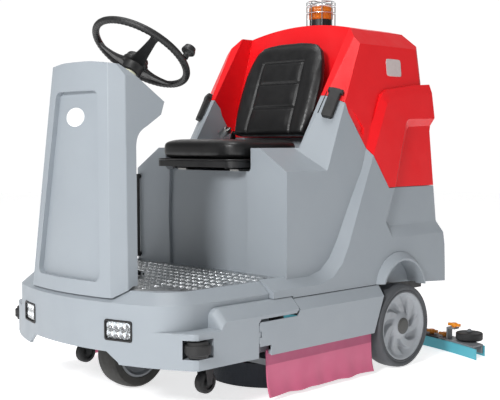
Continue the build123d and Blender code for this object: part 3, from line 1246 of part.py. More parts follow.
# ============================ chassis =======================================
RAIL_IN = 330.0
RAIL_OUT = 370.0
RAIL_LOW = 262.0
with BuildPart() as chassis_frame:
    for sign in (1, -1):
        mid = sign * (RAIL_IN + RAIL_OUT) / 2
        with Locations((mid, (-640 + 620) / 2, (RAIL_LOW + 336) / 2)):
            Box(RAIL_OUT - RAIL_IN, 1260, 336 - RAIL_LOW)
        with Locations((mid, (-190 + 620) / 2, 340)):
            Box(RAIL_OUT - RAIL_IN, 810, 2 * (BOX_LOW_Z - 340))
    # cross members: drive plate, deck guide plate, axle and tail
    for y_low, y_high, z_low, z_high in ((-606, -486, 300, 322), (-12, 80, 262, 274), (300, 384, 280, 300),
                                         (566, 614, 280, 300)):
        with Locations((0, (y_low + y_high) / 2, (z_low + z_high) / 2)):
            Box(2 * RAIL_IN + 4, y_high - y_low, z_high - z_low)
    with Locations((0, DRIVE_Y, 311)):
        Cylinder(KINGPIN_R + RUN_FIT, 40, mode=Mode.SUBTRACT)
    for x, y in POST_AT:
        with Locations((x, y, 268)):
            Cylinder(POST_R + 0.1, 30, mode=Mode.SUBTRACT)
    for sign in (1, -1):
        # axle hangers
        with BuildSketch(side_plane(sign * 340)):
            with BuildLine():
                Polyline((REAR_WHEEL_Y - 40, RAIL_LOW + 4), (REAR_WHEEL_Y + 40, RAIL_LOW + 4),
                         (REAR_WHEEL_Y + 26, REAR_WHEEL_R - 20), (REAR_WHEEL_Y - 26, REAR_WHEEL_R - 20),
                         (REAR_WHEEL_Y - 40, RAIL_LOW + 4))
            make_face()
            with Locations((REAR_WHEEL_Y, REAR_WHEEL_R)):
                Circle(AXLE_R + RUN_FIT, mode=Mode.SUBTRACT)
        extrude(amount=sign * 12)
        # caster forks: top plate, two cheeks and a pin
        x = sign * CASTER_X
        with Locations((x + sign * 8, CASTER_Y, RAIL_LOW - 3)):
            Box(84, 60, 10)
        for side in (1, -1):
            with BuildSketch(side_plane(x + side * (CASTER_W / 2 + 2))):
                with BuildLine():
                    Polyline((CASTER_Y - 28, RAIL_LOW), (CASTER_Y + 28, RAIL_LOW),
                             (CASTER_Y + 11, CASTER_Z - 6), (CASTER_Y - 11, CASTER_Z - 6),
                             (CASTER_Y - 28, RAIL_LOW))
                make_face()
            extrude(amount=side * 4)
        with Locations(Location((x, CASTER_Y, CASTER_Z), (0, 90, 0))):
            Cylinder(6, CASTER_W + 12)
        # squeegee hangers
        with BuildSketch(side_plane(sign * 52)):
            with BuildLine():
                Polyline((SQ_PIVOT_Y - 22, 290), (SQ_PIVOT_Y + 22, 290), (SQ_PIVOT_Y + 16, SQ_PIVOT_Z - 16),
                         (SQ_PIVOT_Y - 16, SQ_PIVOT_Z - 16), (SQ_PIVOT_Y - 22, 290))
            make_face()
            with Locations((SQ_PIVOT_Y, SQ_PIVOT_Z)):
                Circle(8 + RUN_FIT, mode=Mode.SUBTRACT)
        extrude(amount=sign * 8)
write(chassis_frame.part, "chassis_frame")
with BuildPart() as rear_axle:
    with Locations(Location((0, REAR_WHEEL_Y, REAR_WHEEL_R), (0, 90, 0))):
        Cylinder(AXLE_R, 2 * (REAR_WHEEL_FACE_X - 8))
    for sign in (1, -1):
        with Locations(Location((sign * 398, REAR_WHEEL_Y, REAR_WHEEL_R), (0, 90, 0))):
            Cylinder(AXLE_R + 9, 20)
write(rear_axle.part, "rear_axle")
with BuildPart() as battery_pack:
    for x in (1, -1):
        for y in (1, -1):
            with Locations((x * 152, 6 + y * 86, BOX_LOW_Z + 12)):
                Box(298, 166, 280, align=(Align.CENTER, Align.CENTER, Align.MIN))
                for post in (1, -1):
                    with Locations((post * 110, 50, 280)):
                        Cylinder(9, 16, align=(Align.CENTER, Align.CENTER, Align.MIN))
    with Locations((0, 6, BOX_LOW_Z + FIT)):
        Box(640, 352, 11.7, align=(Align.CENTER, Align.CENTER, Align.MIN))
    with Locations((0, 6, BOX_LOW_Z + FIT)):
        for sign in (1, -1):
            with Locations((sign * 335, 0, 0)):
                Box(44, 352, 11.7, align=(Align.CENTER, Align.CENTER, Align.MIN))
write(battery_pack.part, "battery_pack")
SIGHT_X = -390.0
with BuildPart() as sight_tube:
    with Locations((SIGHT_X + 6, BOX_FRONT_Y - 11, (400 + 704) / 2)):
        Cylinder(6, 304)
    for z in (400, 704):
        with Locations((SIGHT_X + 6, BOX_FRONT_Y - 11, z)):
            Cylinder(9, 18)
            with Locations(Location((0, 5, 0), (90, 0, 0))):
                Cylinder(7, 11.4)
write(sight_tube.part, "sight_tube")
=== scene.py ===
"""Looks of a ride-on scrubber dryer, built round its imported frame.  Metres, +Z up, it faces -Y."""
import json
from math import cos, pi, radians, sin, sqrt, tau

import bmesh
import bpy
import numpy as np
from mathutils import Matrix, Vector
from mathutils.bvhtree import BVHTree


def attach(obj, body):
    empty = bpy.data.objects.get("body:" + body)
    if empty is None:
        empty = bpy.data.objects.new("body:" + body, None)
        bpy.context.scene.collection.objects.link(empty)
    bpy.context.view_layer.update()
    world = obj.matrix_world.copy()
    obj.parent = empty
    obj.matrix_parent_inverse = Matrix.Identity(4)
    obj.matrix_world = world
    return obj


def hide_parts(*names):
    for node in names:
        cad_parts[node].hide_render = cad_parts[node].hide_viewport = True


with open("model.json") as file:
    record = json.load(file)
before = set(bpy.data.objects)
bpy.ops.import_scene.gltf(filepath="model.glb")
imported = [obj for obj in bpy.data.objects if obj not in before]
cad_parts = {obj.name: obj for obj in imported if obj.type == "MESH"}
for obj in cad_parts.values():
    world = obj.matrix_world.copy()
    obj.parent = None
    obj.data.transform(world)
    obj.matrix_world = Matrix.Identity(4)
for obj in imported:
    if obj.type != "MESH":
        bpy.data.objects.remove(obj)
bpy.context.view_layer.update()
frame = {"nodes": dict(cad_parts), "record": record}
scene = bpy.context.scene
MM = 0.001


# ---- materials -----------------------------------------------------------------------
def linear(code):
    """An sRGB hex colour as linear RGBA: v/12.92 below the knee, ((v + 0.055)/1.055)^2.4 above."""
    channels = [int(code[i:i + 2], 16) / 255 for i in (1, 3, 5)]
    return tuple(c / 12.92 if c <= 0.04045 else ((c + 0.055) / 1.055) ** 2.4 for c in channels) + (1.0,)


def node(tree, kind, sockets=None, **settings):
    """Adds one node, sets its settings, then fills or links its named sockets."""
    made = tree.nodes.new(kind)
    for key, value in settings.items():
        setattr(made, key, value)
    for key, value in (sockets or {}).items():
        if isinstance(value, bpy.types.NodeSocket):
            tree.links.new(value, made.inputs[key])
        else:
            made.inputs[key].default_value = value
    return made


def finish(name, light, dark, patch_mm, rough, grain_mm, grain_depth_mm, spread=0.08, cells=False,
           stretch=(1, 1, 1), **shader):
    """A material from its real surface: two close colours in patches, a roughness that wanders
    by spread, and a grain of the given pitch and depth."""
    material = bpy.data.materials.new(name)
    material.use_nodes = True
    tree = material.node_tree
    tree.nodes.clear()
    place = node(tree, "ShaderNodeTexCoord").outputs["Object"]
    place = node(tree, "ShaderNodeMapping", {"Vector": place, "Scale": stretch}).outputs["Vector"]
    patches = node(tree, "ShaderNodeTexNoise", {"Vector": place, "Scale": 1000 / patch_mm, "Detail": 4.0})
    tint = node(tree, "ShaderNodeMix", {"Factor": patches.outputs["Fac"], 6: linear(light), 7: linear(dark)},
                data_type="RGBA")
    smear = node(tree, "ShaderNodeTexNoise", {"Vector": place, "Scale": 2600 / patch_mm, "Detail": 5.0})
    sheen = node(tree, "ShaderNodeMapRange", {"Value": smear.outputs["Fac"],
                                              "From Min": 0.3, "From Max": 0.7,
                                              "To Min": rough - spread, "To Max": rough + spread})
    if cells:
        grain = node(tree, "ShaderNodeTexVoronoi", {"Vector": place, "Scale": 1000 / grain_mm},
                     feature="DISTANCE_TO_EDGE").outputs["Distance"]
    else:
        grain = node(tree, "ShaderNodeTexNoise", {"Vector": place, "Scale": 1000 / grain_mm,
                                                  "Detail": 3.0}).outputs["Fac"]
    bump = node(tree, "ShaderNodeBump", {"Height": grain, "Strength": 0.6, "Distance": grain_depth_mm * MM})
    body = node(tree, "ShaderNodeBsdfPrincipled", {"Base Color": tint.outputs[2],
                                                   "Roughness": sheen.outputs["Result"],
                                                   "Normal": bump.outputs["Normal"], **shader})
    node(tree, "ShaderNodeOutputMaterial", {"Surface": body.outputs["BSDF"]})
    return material


# rotationally moulded polyethylene: waxy, faint orange peel from the mould
GREY = finish("polyethylene_grey", "#989FA5", "#90979E", 180, 0.48, 5.0, 0.10, IOR=1.45)
RED = finish("polyethylene_red", "#E9121B", "#DD0D17", 180, 0.38, 5.0, 0.10, IOR=1.51)
# injection-moulded ABS, spark-eroded texture
BLACK = finish("abs_black", "#1B1B1D", "#131314", 60, 0.46, 1.6, 0.08, IOR=1.53)
COVER_DARK = finish("abs_charcoal", "#4A4A48", "#3F3F3E", 120, 0.52, 2.0, 0.10, IOR=1.53)
# soft-touch polyurethane foam of the wheel rim
RIM_FOAM = finish("polyurethane_foam_black", "#1F1F20", "#161617", 40, 0.5, 1.5, 0.12, IOR=1.5)
# moulded natural rubber: dull, a little dusty
RUBBER = finish("rubber_black", "#222223", "#19191A", 50, 0.66, 1.8, 0.12, IOR=1.52)
TYRE = finish("rubber_tyre_grey", "#4C4E52", "#3E4043", 70, 0.72, 2.4, 0.18, IOR=1.52)
TREAD = finish("rubber_tread_scuffed", "#3A3936", "#2A2A29", 30, 0.78, 2.2, 0.25, IOR=1.52)
HUB = finish("nylon_hub_grey", "#9A9EA3", "#8C9095", 60, 0.36, 3.0, 0.05, IOR=1.53)
# PVC seat vinyl with an embossed leather grain, drawn twice as coarse so that it shows
VINYL = finish("vinyl_black", "#171718", "#101011", 90, 0.40, 2.6, 0.20, cells=True, IOR=1.5)
STEEL_BLACK = finish("powder_coat_black", "#202123", "#18191A", 60, 0.5, 1.2, 0.06, IOR=1.5)
STEEL_GREY = finish("powder_coat_grey", "#7C8084", "#707478", 60, 0.46, 1.2, 0.06, IOR=1.5)
# zinc-plated and ground steel
STEEL = finish("steel_plated", "#C4C4C2", "#ABABA9", 25, 0.32, 0.8, 0.03, stretch=(1, 8, 8), Metallic=1.0)
CHROME = finish("chrome_plate", "#E6E7E8", "#DADBDD", 30, 0.10, 1.0, 0.01, spread=0.04, Metallic=1.0)
# rolled aluminium, dulled by shoes
ALUMINIUM = finish("aluminium_tread_plate", "#D3D5D6", "#B4B6B8", 45, 0.34, 0.9, 0.05, spread=0.12,
                   stretch=(1, 5, 1), Metallic=1.0)
# linatex-type gum rubber skirt
SKIRT = finish("gum_rubber_rose", "#CB6686", "#BA5575", 130, 0.56, 3.0, 0.15, IOR=1.52)
# the upper band of the skirt, coloured a darker rose: painted shade under the cover's overhang
SKIRT_PAINTED_SHADE = finish("gum_rubber_rose_painted_shade", "#B05474", "#9C4665", 90, 0.62, 3.0, 0.15, IOR=1.52)
BLADE = finish("polyurethane_blade_teal", "#4FB0C0", "#3F9BAC", 70, 0.40, 2.0, 0.06, IOR=1.5)
ORANGE = finish("nylon_orange", "#F5980F", "#E98A08", 30, 0.40, 1.2, 0.05, IOR=1.53)
STOP_RED = finish("abs_red", "#C4161C", "#B31016", 20, 0.30, 1.0, 0.03, IOR=1.53)
AMBER = finish("polycarbonate_amber", "#F58A12", "#E87406", 20, 0.14, 1.5, 0.03, spread=0.05, IOR=1.58,
               **{"Transmission Weight": 0.55})
CLEAR = finish("polycarbonate_clear", "#F4F6F7", "#EEF1F3", 30, 0.06, 1.5, 0.01, spread=0.03, IOR=1.58,
               **{"Transmission Weight": 1.0})
LED = finish("led_phosphor", "#FFFDF0", "#FFF8DC", 5, 0.3, 0.5, 0.01, **{"Emission Color": linear("#FFFFFF"),
                                                                      "Emission Strength": 0.9})
CREAM = finish("nylon_cream", "#DCDDC6", "#CDCEB4", 15, 0.40, 0.8, 0.03, IOR=1.53)
WHITE = finish("vinyl_label_white", "#F4F5F5", "#ECEDEE", 25, 0.30, 1.0, 0.01, IOR=1.5)
PLATE = finish("polyester_label_grey", "#C9BDBB", "#B9ACAB", 12, 0.42, 1.0, 0.02, IOR=1.5)
# disc brush bristles, blue in the part record, coloured near-black here: painted shade under the brush deck
BRISTLE_PAINTED_SHADE = finish("polypropylene_bristle_painted_shade", "#18222F", "#10161F", 8, 0.6, 1.2, 0.8, stretch=(1, 1, 0.05))
# a dark bead of painted shade, standing for the shadow inside a slot
SLOT_PAINTED_SHADE = finish("painted_slot_shadow", "#17181A", "#101112", 30, 0.8, 1.0, 0.02, IOR=1.5)

CAD_FINISH = {
    GREY: ("front_fairing", "console_shell", "solution_tank", "side_cover_left", "side_cover_right"),
    RED: ("recovery_tank",),
    BLACK: ("dash_panel", "headlight_bezels", "beacon_base", "seat_pan", "steering_column",
            "spinner_knob", "vacuum_motor", "battery_pack"),
    COVER_DARK: ("console_rear_cover",),
    RIM_FOAM: ("steering_wheel",),
    RUBBER: ("bumper_roller_left", "bumper_roller_right", "caster_wheel_left", "caster_wheel_right",
             "accelerator_pedal", "brake_pedal", "latch_left", "latch_right", "sight_tube",
             "squeegee_roller_left", "squeegee_roller_right", "horn_button"),
    TYRE: ("rear_tyre_left", "rear_tyre_right"),
    TREAD: ("drive_tyre",),
    HUB: ("rear_wheel_hub_left", "rear_wheel_hub_right"),
    VINYL: ("seat_cushion", "seat_backrest"),
    STEEL_BLACK: ("chassis_frame", "drive_fork", "rear_axle", "steering_shaft", "brush_motors",
                  "squeegee_body", "footplate_screws"),
    STEEL_GREY: ("squeegee_arm", "squeegee_ends", "drive_wheel_hub", "brush_deck"),
    STEEL: ("backrest_knob", "seat_runners", "key_switch"),
    CHROME: ("beacon_guard",),
    ALUMINIUM: ("footplate",),
    SKIRT: ("splash_skirt_left", "splash_skirt_right"),
    BLADE: ("squeegee_blades",),
    ORANGE: ("wing_knobs",),
    STOP_RED: ("emergency_stop",),
    AMBER: ("beacon_lens",),
    CLEAR: ("headlight_lenses",),
    BRISTLE_PAINTED_SHADE: ("disc_brush_left", "disc_brush_right"),
}
SLOT = {row["node"]: row["material_slot"] for row in frame["record"]["subparts"]}
for material, names in CAD_FINISH.items():
    for name in names:
        slots = frame["nodes"][name].data.materials
        slots.clear()
        slots.append(material)


# ---- making pieces ---------------------------------------------------------------------
def place(name, mesh, body, material, slot, stands_for=(), smooth=True):
    """Puts a mesh in the scene as a piece that rides on a body."""
    piece = bpy.data.objects.new(name, mesh)
    scene.collection.objects.link(piece)
    mesh.materials.clear()
    mesh.materials.append(material)
    mesh.polygons.foreach_set("use_smooth", [smooth] * len(mesh.polygons))
    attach(piece, body)
    if stands_for:
        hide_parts(*stands_for)
    return piece


def mesh_of(points, faces):
    """A mesh from arrays of points and faces."""
    mesh = bpy.data.meshes.new("made")
    mesh.from_pydata(np.asarray(points, float).tolist(), [], [list(map(int, f)) for f in faces])
    mesh.update()
    return mesh


def tidy(mesh, outward=True):
    """Doubles merged and, if asked, faces turned outward."""
    work = bmesh.new()
    work.from_mesh(mesh)
    bmesh.ops.remove_doubles(work, verts=work.verts, dist=1e-6)
    if outward:
        bmesh.ops.recalc_face_normals(work, faces=work.faces)
    work.to_mesh(mesh)
    work.free()
    return mesh


def grid(points, wrap_u=False, wrap_v=False, caps=False):
    """Quads over an array of points [u, v, 3]; a wrapped way closes on itself, and with v wrapped
    caps close the two ends."""
    rows, cols = points.shape[:2]
    ids = np.arange(rows * cols).reshape(rows, cols)
    a = ids if wrap_u else ids[:-1]
    b = np.roll(ids, -1, 0) if wrap_u else ids[1:]
    if wrap_v:
        quads = np.stack([a, b, np.roll(b, -1, 1), np.roll(a, -1, 1)], -1)
    else:
        quads = np.stack([a[:, :-1], b[:, :-1], b[:, 1:], a[:, 1:]], -1)
    faces = quads.reshape(-1, 4).tolist()
    if caps:
        faces += [ids[0].tolist(), ids[-1][::-1].tolist()]
    return tidy(mesh_of(points.reshape(-1, 3), faces))


def basis(axis):
    """Two unit vectors square to an axis, and the axis itself."""
    w = Vector(axis).normalized()
    u = w.orthogonal().normalized() if abs(w.x) > 0.9 else Vector((1, 0, 0)) - w * w.x
    u.normalize()
    return np.array(u), np.array(w.cross(u)), np.array(w)


def lathe(axis, profile, turns=96, ripple=None):
    """A profile of (radius, height) turned about an axis through the origin: p = r(cos a u + sin a v)
    + h w; ripple(a, k) scales the radius of profile point k."""
    u, v, w = basis(axis)
    angle = even_turns(turns)
    r, h = np.array(profile, float).T
    radius = np.tile(r, (turns, 1))
    if ripple is not None:
        radius = radius * ripple(angle, np.arange(len(r))[None, :])
    return ((radius * np.cos(angle))[..., None] * u + (radius * np.sin(angle))[..., None] * v
            + np.tile(h, (turns, 1))[..., None] * w)


def turned(name, origin, axis, profile, body, material, slot, stands_for=(), turns=96, ripple=None):
    """A closed turned piece: the profile starts and ends on the axis or meets itself."""
    r, h = np.array(profile, float).T
    points = lathe(axis, profile, turns, ripple) * MM + np.array(origin) * MM
    closed = abs(r[0] - r[-1]) < 1e-9 and abs(h[0] - h[-1]) < 1e-9
    if closed:
        mesh = grid(points[:, :-1], wrap_u=True, wrap_v=True)
    else:
        mesh = grid(points, wrap_u=True)
    return place(name, mesh, body, material, slot, stands_for)


def softened(cad_node, width_mm, body, material, segments=3, angle=24):
    """The node's own form with each crisp edge rolled over, as moulded plastic or cast metal has it."""
    work = bmesh.new()
    work.from_mesh(frame["nodes"][cad_node].data)
    bmesh.ops.remove_doubles(work, verts=work.verts, dist=2e-6)
    bmesh.ops.dissolve_limit(work, angle_limit=radians(1.2), verts=work.verts, edges=work.edges)
    mesh = bpy.data.meshes.new(cad_node)
    work.to_mesh(mesh)
    work.free()
    piece = place(cad_node + "_moulded", mesh, body, material, SLOT[cad_node], (cad_node,))
    bevel = piece.modifiers.new("rolled edges", "BEVEL")
    bevel.width = width_mm * MM
    bevel.segments = segments
    bevel.limit_method = "ANGLE"
    bevel.angle_limit = radians(angle)
    bevel.harden_normals = False
    shade = piece.modifiers.new("face weight", "WEIGHTED_NORMAL")
    shade.keep_sharp = True
    return piece


def both(function):
    """Calls a maker for the driver's left, then for the right."""
    for side, sign in (("left", 1), ("right", -1)):
        function(side, sign)


def signed_power(value, power):
    """sign(v) |v|^power: below 1 it squares off a sine, so that a round section becomes a boxy one."""
    return np.sign(value) * np.abs(value) ** power


def blunt_ring(turn, power):
    """Radius of a superellipse of unit half-width: (|cos|^p + |sin|^p)^(-1/p)."""
    return (np.abs(np.cos(turn)) ** power + np.abs(np.sin(turn)) ** power) ** (-1 / power)


def even_turns(count):
    """Angles of a full turn, as a column."""
    return np.linspace(0, tau, count, endpoint=False)[:, None]


def joined(forms, inward=False):
    """Points and faces of several forms [around, along, 3] in one; inward ones are closed cups seen
    from inside."""
    points, faces = [], []
    for form in forms:
        ids = np.arange(form.shape[0] * form.shape[1]).reshape(form.shape[:2]) + len(points)
        near, beyond = ids, np.roll(ids, -1, 0)
        if inward:
            quads = [near[:, :-1], near[:, 1:], beyond[:, 1:], beyond[:, :-1]]
        else:
            quads = [near[:, :-1], beyond[:, :-1], beyond[:, 1:], near[:, 1:]]
        faces += np.stack(quads, -1).reshape(-1, 4).tolist()
        if inward:
            faces.append(near[:, -1][::-1].tolist())
        points += form.reshape(-1, 3).tolist()
    return mesh_of(np.array(points) * MM, faces)


# ---- moulded body --------------------------------------------------------------------------
# node, edge width in mm, body, material, and the number of steps round the edge
MOULDED = (
    ("front_fairing", 5, "machine", GREY, 3),
    ("console_shell", 7, "machine", GREY, 3),
    ("solution_tank", 7, "machine", GREY, 3),
    ("recovery_tank", 7, "tank_lid", RED, 3),
    ("side_cover_left", 4, "cover_l", GREY, 3),
    ("side_cover_right", 4, "cover_r", GREY, 3),
    ("console_rear_cover", 3, "machine", COVER_DARK, 3),
    ("squeegee_arm", 2, "squeegee_lift", STEEL_GREY, 3),
    ("squeegee_body", 2, "squeegee", STEEL_BLACK, 3),
    ("squeegee_ends", 2, "squeegee", STEEL_GREY, 3),
    ("wing_knobs", 1.5, "squeegee", ORANGE, 2),
    ("bumper_roller_left", 2.5, "bumper_left", RUBBER, 3),
    ("bumper_roller_right", 2.5, "bumper_right", RUBBER, 3),
    ("drive_fork", 2, "turret", STEEL_BLACK, 3),
)
for row in MOULDED:
    softened(*row)

# ---- rear wheels --------------------------------------------------------------------------
TYRE_PROFILE = [(127, -40), (132, -41), (133, -39.6), (135, -39.6), (136, -41.4), (146, -42), (150.5, -38),
                (153, -29), (154.6, -14), (155, 0), (154.6, 14), (153, 29), (150.5, 38), (146, 42),
                (136, 41.4), (135, 39.6), (133, 39.6), (132, 41), (127, 40), (127, -40)]
SPOKES = 7


def hub_face(sign):
    """Wheel centre: a dished disc whose height is h(r) less seven swept hollows,
    depth * sin(window) * clip(cos(7(a - twist r)))."""
    angle = even_turns(196)
    r = np.concatenate([[15.1, 24, 31, 36, 40, 44], np.linspace(48, 110, 26), [113, 116, 119, 123, 126.8]])
    knots_r = [15, 31, 36, 44, 52, 80, 108, 113, 117, 121, 127]
    knots_h = [34, 34, 33, 27, 25, 23, 27, 30, 36, 38.4, 38.4]
    h = np.tile(np.interp(r, knots_r, knots_h), (len(angle), 1))
    window = np.clip((r - 50) / 58, 0, 1)
    wave = np.cos(SPOKES * (angle - sign * 0.55 * window[None, :]))
    hollow = np.clip((wave + 0.15) / 0.75, 0, 1) ** 0.8
    h = h - 15 * np.sin(pi * window)[None, :] ** 0.6 * hollow
    back_r = np.array([126.8, 60, 15.1, 15.1])
    back_h = np.array([-37.5, -37.5, -37.5, 0.0])
    radius = np.concatenate([np.tile(r, (len(angle), 1)), np.tile(back_r, (len(angle), 1))], 1)
    height = np.concatenate([h, np.tile(back_h, (len(angle), 1))], 1)
    y, z = radius * np.cos(angle), radius * np.sin(angle)
    return np.stack([sign * height, y, z], -1)


REAR_AXLE = (452, 342, 155)         # the left wheel's centre


def rear_wheel(side, sign):
    """Tyre, wheel centre and hub cap of one rear wheel."""
    centre = (sign * REAR_AXLE[0], *REAR_AXLE[1:])
    body = f"rear_wheel_{side}"
    turned(f"rear_tyre_{side}_rubber", centre, (sign, 0, 0), TYRE_PROFILE, body, TYRE, "tyre_rubber",
           (f"rear_tyre_{side}",), turns=144)
    place(f"rear_hub_{side}_moulded", grid(hub_face(sign) * MM + np.array(centre) * MM, True, True), body,
          HUB, "wheel_hub", (f"rear_wheel_hub_{side}",))
    turned(f"rear_cap_{side}", centre, (sign, 0, 0),
           [(0, 30), (29, 30), (30.5, 34), (30, 37), (27, 39.4), (18, 40.6), (0, 41)], body, COVER_DARK,
           "wheel_hub", turns=64)


both(rear_wheel)

# ---- steering wheel -------------------------------------------------------------------------
TILT = radians(35.5)
RIM = np.array([0, -501, 1140.0])
RIM_ACROSS = np.array([1.0, 0, 0])
RIM_UP = np.array([0, cos(TILT), -sin(TILT)])
RIM_OUT = np.array([0, sin(TILT), cos(TILT)])
RIM_R = 172                 # to the middle of the grip
GRIP_R = 12.3
GRIP_TEETH = 70             # finger serrations on the underside of the rim
SPOKE_ANGLES = (90, 205, 335)
a, b = np.meshgrid(np.linspace(0, tau, 420, endpoint=False), np.linspace(0, tau, 18, endpoint=False),
                   indexing="ij")
grip = GRIP_R + 0.65 * np.cos(GRIP_TEETH * a) * np.clip(-np.sin(b) - 0.1, 0, 1)
ray = np.cos(a)[..., None] * RIM_ACROSS + np.sin(a)[..., None] * RIM_UP
rim = RIM + (RIM_R + grip * np.cos(b))[..., None] * ray + (grip * np.sin(b))[..., None] * RIM_OUT
place("wheel_rim", grid(rim * MM, True, True), "steering", RIM_FOAM, "black_plastic", ("steering_wheel",))
turned("wheel_hub_boss", RIM, RIM_OUT,
       [(0, -86), (31, -86), (35, -84), (36, -80), (36, -58), (38, -54), (44, -53), (46, -50), (46, -40),
        (44, -37), (41, -35.6), (40, -33), (40, -26), (38, -22), (33, -19.6), (27, -18.6), (26, -19.6),
        (24, -19.6), (23, -18.4), (12, -17.6), (0, -17.4)], "steering", RIM_FOAM, "black_plastic")
for number, degrees_at in enumerate(SPOKE_ANGLES):
    t, q = np.meshgrid(np.linspace(0, 1, 26), np.linspace(0, tau, 40, endpoint=False), indexing="ij")
    out = cos(radians(degrees_at)) * RIM_ACROSS + sin(radians(degrees_at)) * RIM_UP
    sideways = np.cross(RIM_OUT, out)
    across = signed_power(np.cos(q), 0.5)
    thick = signed_power(np.sin(q), 0.5)
    half_w = 27 - 15.5 * t ** 0.7 + 3.5 * np.clip(t - 0.85, 0, 1) / 0.15
    half_t = (9.5 - 4.5 * t) * (1 - 0.45 * (1 - across ** 2) * np.sin(pi * np.clip(t * 1.1, 0, 1)))
    reach = 34 + 132 * t
    height = -46 + 43 * t ** 1.5
    spoke = (RIM + reach[..., None] * out + (half_w * across)[..., None] * sideways
             + (height + half_t * thick)[..., None] * RIM_OUT)
    place(f"wheel_spoke_{number + 1}", grid(spoke * MM, False, True, caps=True), "steering", RIM_FOAM,
          "black_plastic")
turned("column_collar", RIM, RIM_OUT, [(20, -86.3), (26.5, -86.3), (28, -87.6), (28, -92), (26.8, -93.6),
                                       (20, -93.6), (20, -86.3)], "steering", CREAM, "black_plastic")
softened("spinner_knob", 0.8, "spinner", RIM_FOAM, angle=40)

# ---- beacon -----------------------------------------------------------------------------------
BEACON_AT = (0, 431, 1331.3)
BEACON_RIBS = 40
LENS_RISE = [0, 3, 6, 12, 18, 24, 30, 36, 42, 46, 49, 51.6, 53.2, 54]
LENS_R = [46, 48, 48, 48, 48, 48, 48, 48, 48, 47.2, 45.2, 42, 38, 33]
lens_profile = [(0, 0)] + list(zip(LENS_R, LENS_RISE)) + [(18, 54), (0, 54)]
ribbed = np.array([0] + [0, 1, 1, 1, 1, 1, 1, 1, 1, 0.6, 0, 0, 0, 0] + [0, 0])
turned("beacon_lens_ribbed", BEACON_AT, (0, 0, 1), lens_profile, "tank_lid", AMBER, "amber_lens",
       ("beacon_lens",), turns=8 * BEACON_RIBS,
       ripple=lambda angle, k: 1 - 0.014 * ribbed[k] * (1 + np.cos(BEACON_RIBS * angle)))
softened("beacon_base", 1.5, "tank_lid", BLACK, angle=40)

# ---- headlights ---------------------------------------------------------------------------------
NOSE_R = 926.0
LAMP_X, LAMP_Z = 245.0, 256.0


def headlight(side, sign):
    """Lens plate over two rows of four bright cups, each cup a square that closes to a round LED."""
    lean = np.arcsin(LAMP_X / NOSE_R) * sign
    origin = np.array([sign * LAMP_X, -828 + NOSE_R - sqrt(NOSE_R ** 2 - LAMP_X ** 2), LAMP_Z])
    right = np.array([cos(lean), sin(lean), 0])
    ahead = np.array([sin(lean), -cos(lean), 0])
    up = np.array([0, 0, 1.0])
    cups, leds = [], []
    turn = even_turns(24)
    depth = np.array([0, 3, 6, 8.6, 10.2, 11])[None, :]
    squareness = np.array([7, 5, 3.5, 2.6, 2.2, 2.0])[None, :]
    size = np.array([1.0, 0.86, 0.68, 0.5, 0.36, 0.26])[None, :]
    blunt = blunt_ring(turn, squareness)
    for column in range(4):
        for row in range(2):
            at = origin + right * ((column - 1.5) * 23.2) + up * ((row - 0.5) * 26.4)
            cup = (at + (11.3 * size * blunt * np.cos(turn))[..., None] * right
                   + (12.9 * size * blunt * np.sin(turn))[..., None] * up
                   - (6.5 + depth + 0 * turn)[..., None] * ahead)
            cups.append(cup)
            dome = lathe(ahead, [(0, 0), (3.6, 0), (3.3, 1.6), (2.2, 2.8), (0, 3.3)], 20)
            leds.append(dome + at - 17.2 * ahead)
    cells = place(f"led_cups_{side}", tidy(joined(cups, inward=True), False), "machine", CHROME,
                  "lamp_lens")
    wall = cells.modifiers.new("wall", "SOLIDIFY")
    wall.thickness = 0.4 * MM
    wall.offset = -1
    place(f"led_domes_{side}", tidy(joined(leds)), "machine", LED, "lamp_lens")
    half_w, half_h = 46.7, 26.7
    ring_a = even_turns(64)
    corner = blunt_ring(ring_a, 8)
    grow = np.array([0.0, 0.5, 0.9, 0.97, 1.0, 1.0, 0.9, 0.5, 0.0])[None, :]
    lift = np.array([-2.0, -2.1, -2.4, -2.7, -3.2, -4.8, -4.6, -4.4, -4.3])[None, :]
    lens = (origin + (half_w * corner * grow * np.cos(ring_a))[..., None] * right
            + (half_h * corner * grow * np.sin(ring_a))[..., None] * up
            + (lift + 0 * ring_a)[..., None] * ahead)
    return grid(lens * MM, True)


lens_left, lens_right = headlight("left", 1), headlight("right", -1)
place("lamp_lens_left", lens_left, "machine", CLEAR, "lamp_lens", ("headlight_lenses",))
place("lamp_lens_right", lens_right, "machine", CLEAR, "lamp_lens")
softened("headlight_bezels", 1.5, "machine", BLACK, segments=2)

# ---- rubber skirts ---------------------------------------------------------------------------------
PAINTED_SHADE_LINE_Z = 0.118         # painted shade: the rubber is coloured darker above this line, standing for the shadow under the cover's overhang


def skirt(side, sign):
    """A hanging rubber sheet: straight at its clamp, with waves and an outward curl that grow as the
    square of the drop."""
    y, z = np.meshgrid(np.linspace(-371.5, 171.5, 120), np.linspace(12, 167.5, 34), indexing="ij")
    drop = (167.5 - z) / 155.5
    wave = 3.2 * np.sin(tau * (y + 30) / 190) + 1.8 * np.sin(tau * (y - 20) / 83 + 0.8)
    x = 469.5 + drop ** 2 * (6.0 + wave) + 9.0 * drop ** 6
    hem = z + drop ** 3 * (1.6 + 1.6 * np.sin(tau * (y + 60) / 130))
    flat = np.stack([sign * x, y, hem], -1) * MM
    piece = place(f"skirt_sheet_{side}", grid(flat), f"cover_{side[0]}", SKIRT, "pink_rubber",
                  (f"splash_skirt_{side}",))
    # faces above the line take the darker rose, which is painted shade
    piece.data.materials.append(SKIRT_PAINTED_SHADE)
    for polygon in piece.data.polygons:
        polygon.material_index = int(polygon.center.z > PAINTED_SHADE_LINE_Z)
    wall = piece.modifiers.new("sheet", "SOLIDIFY")
    wall.thickness = 4.0 * MM
    wall.offset = 0


both(skirt)

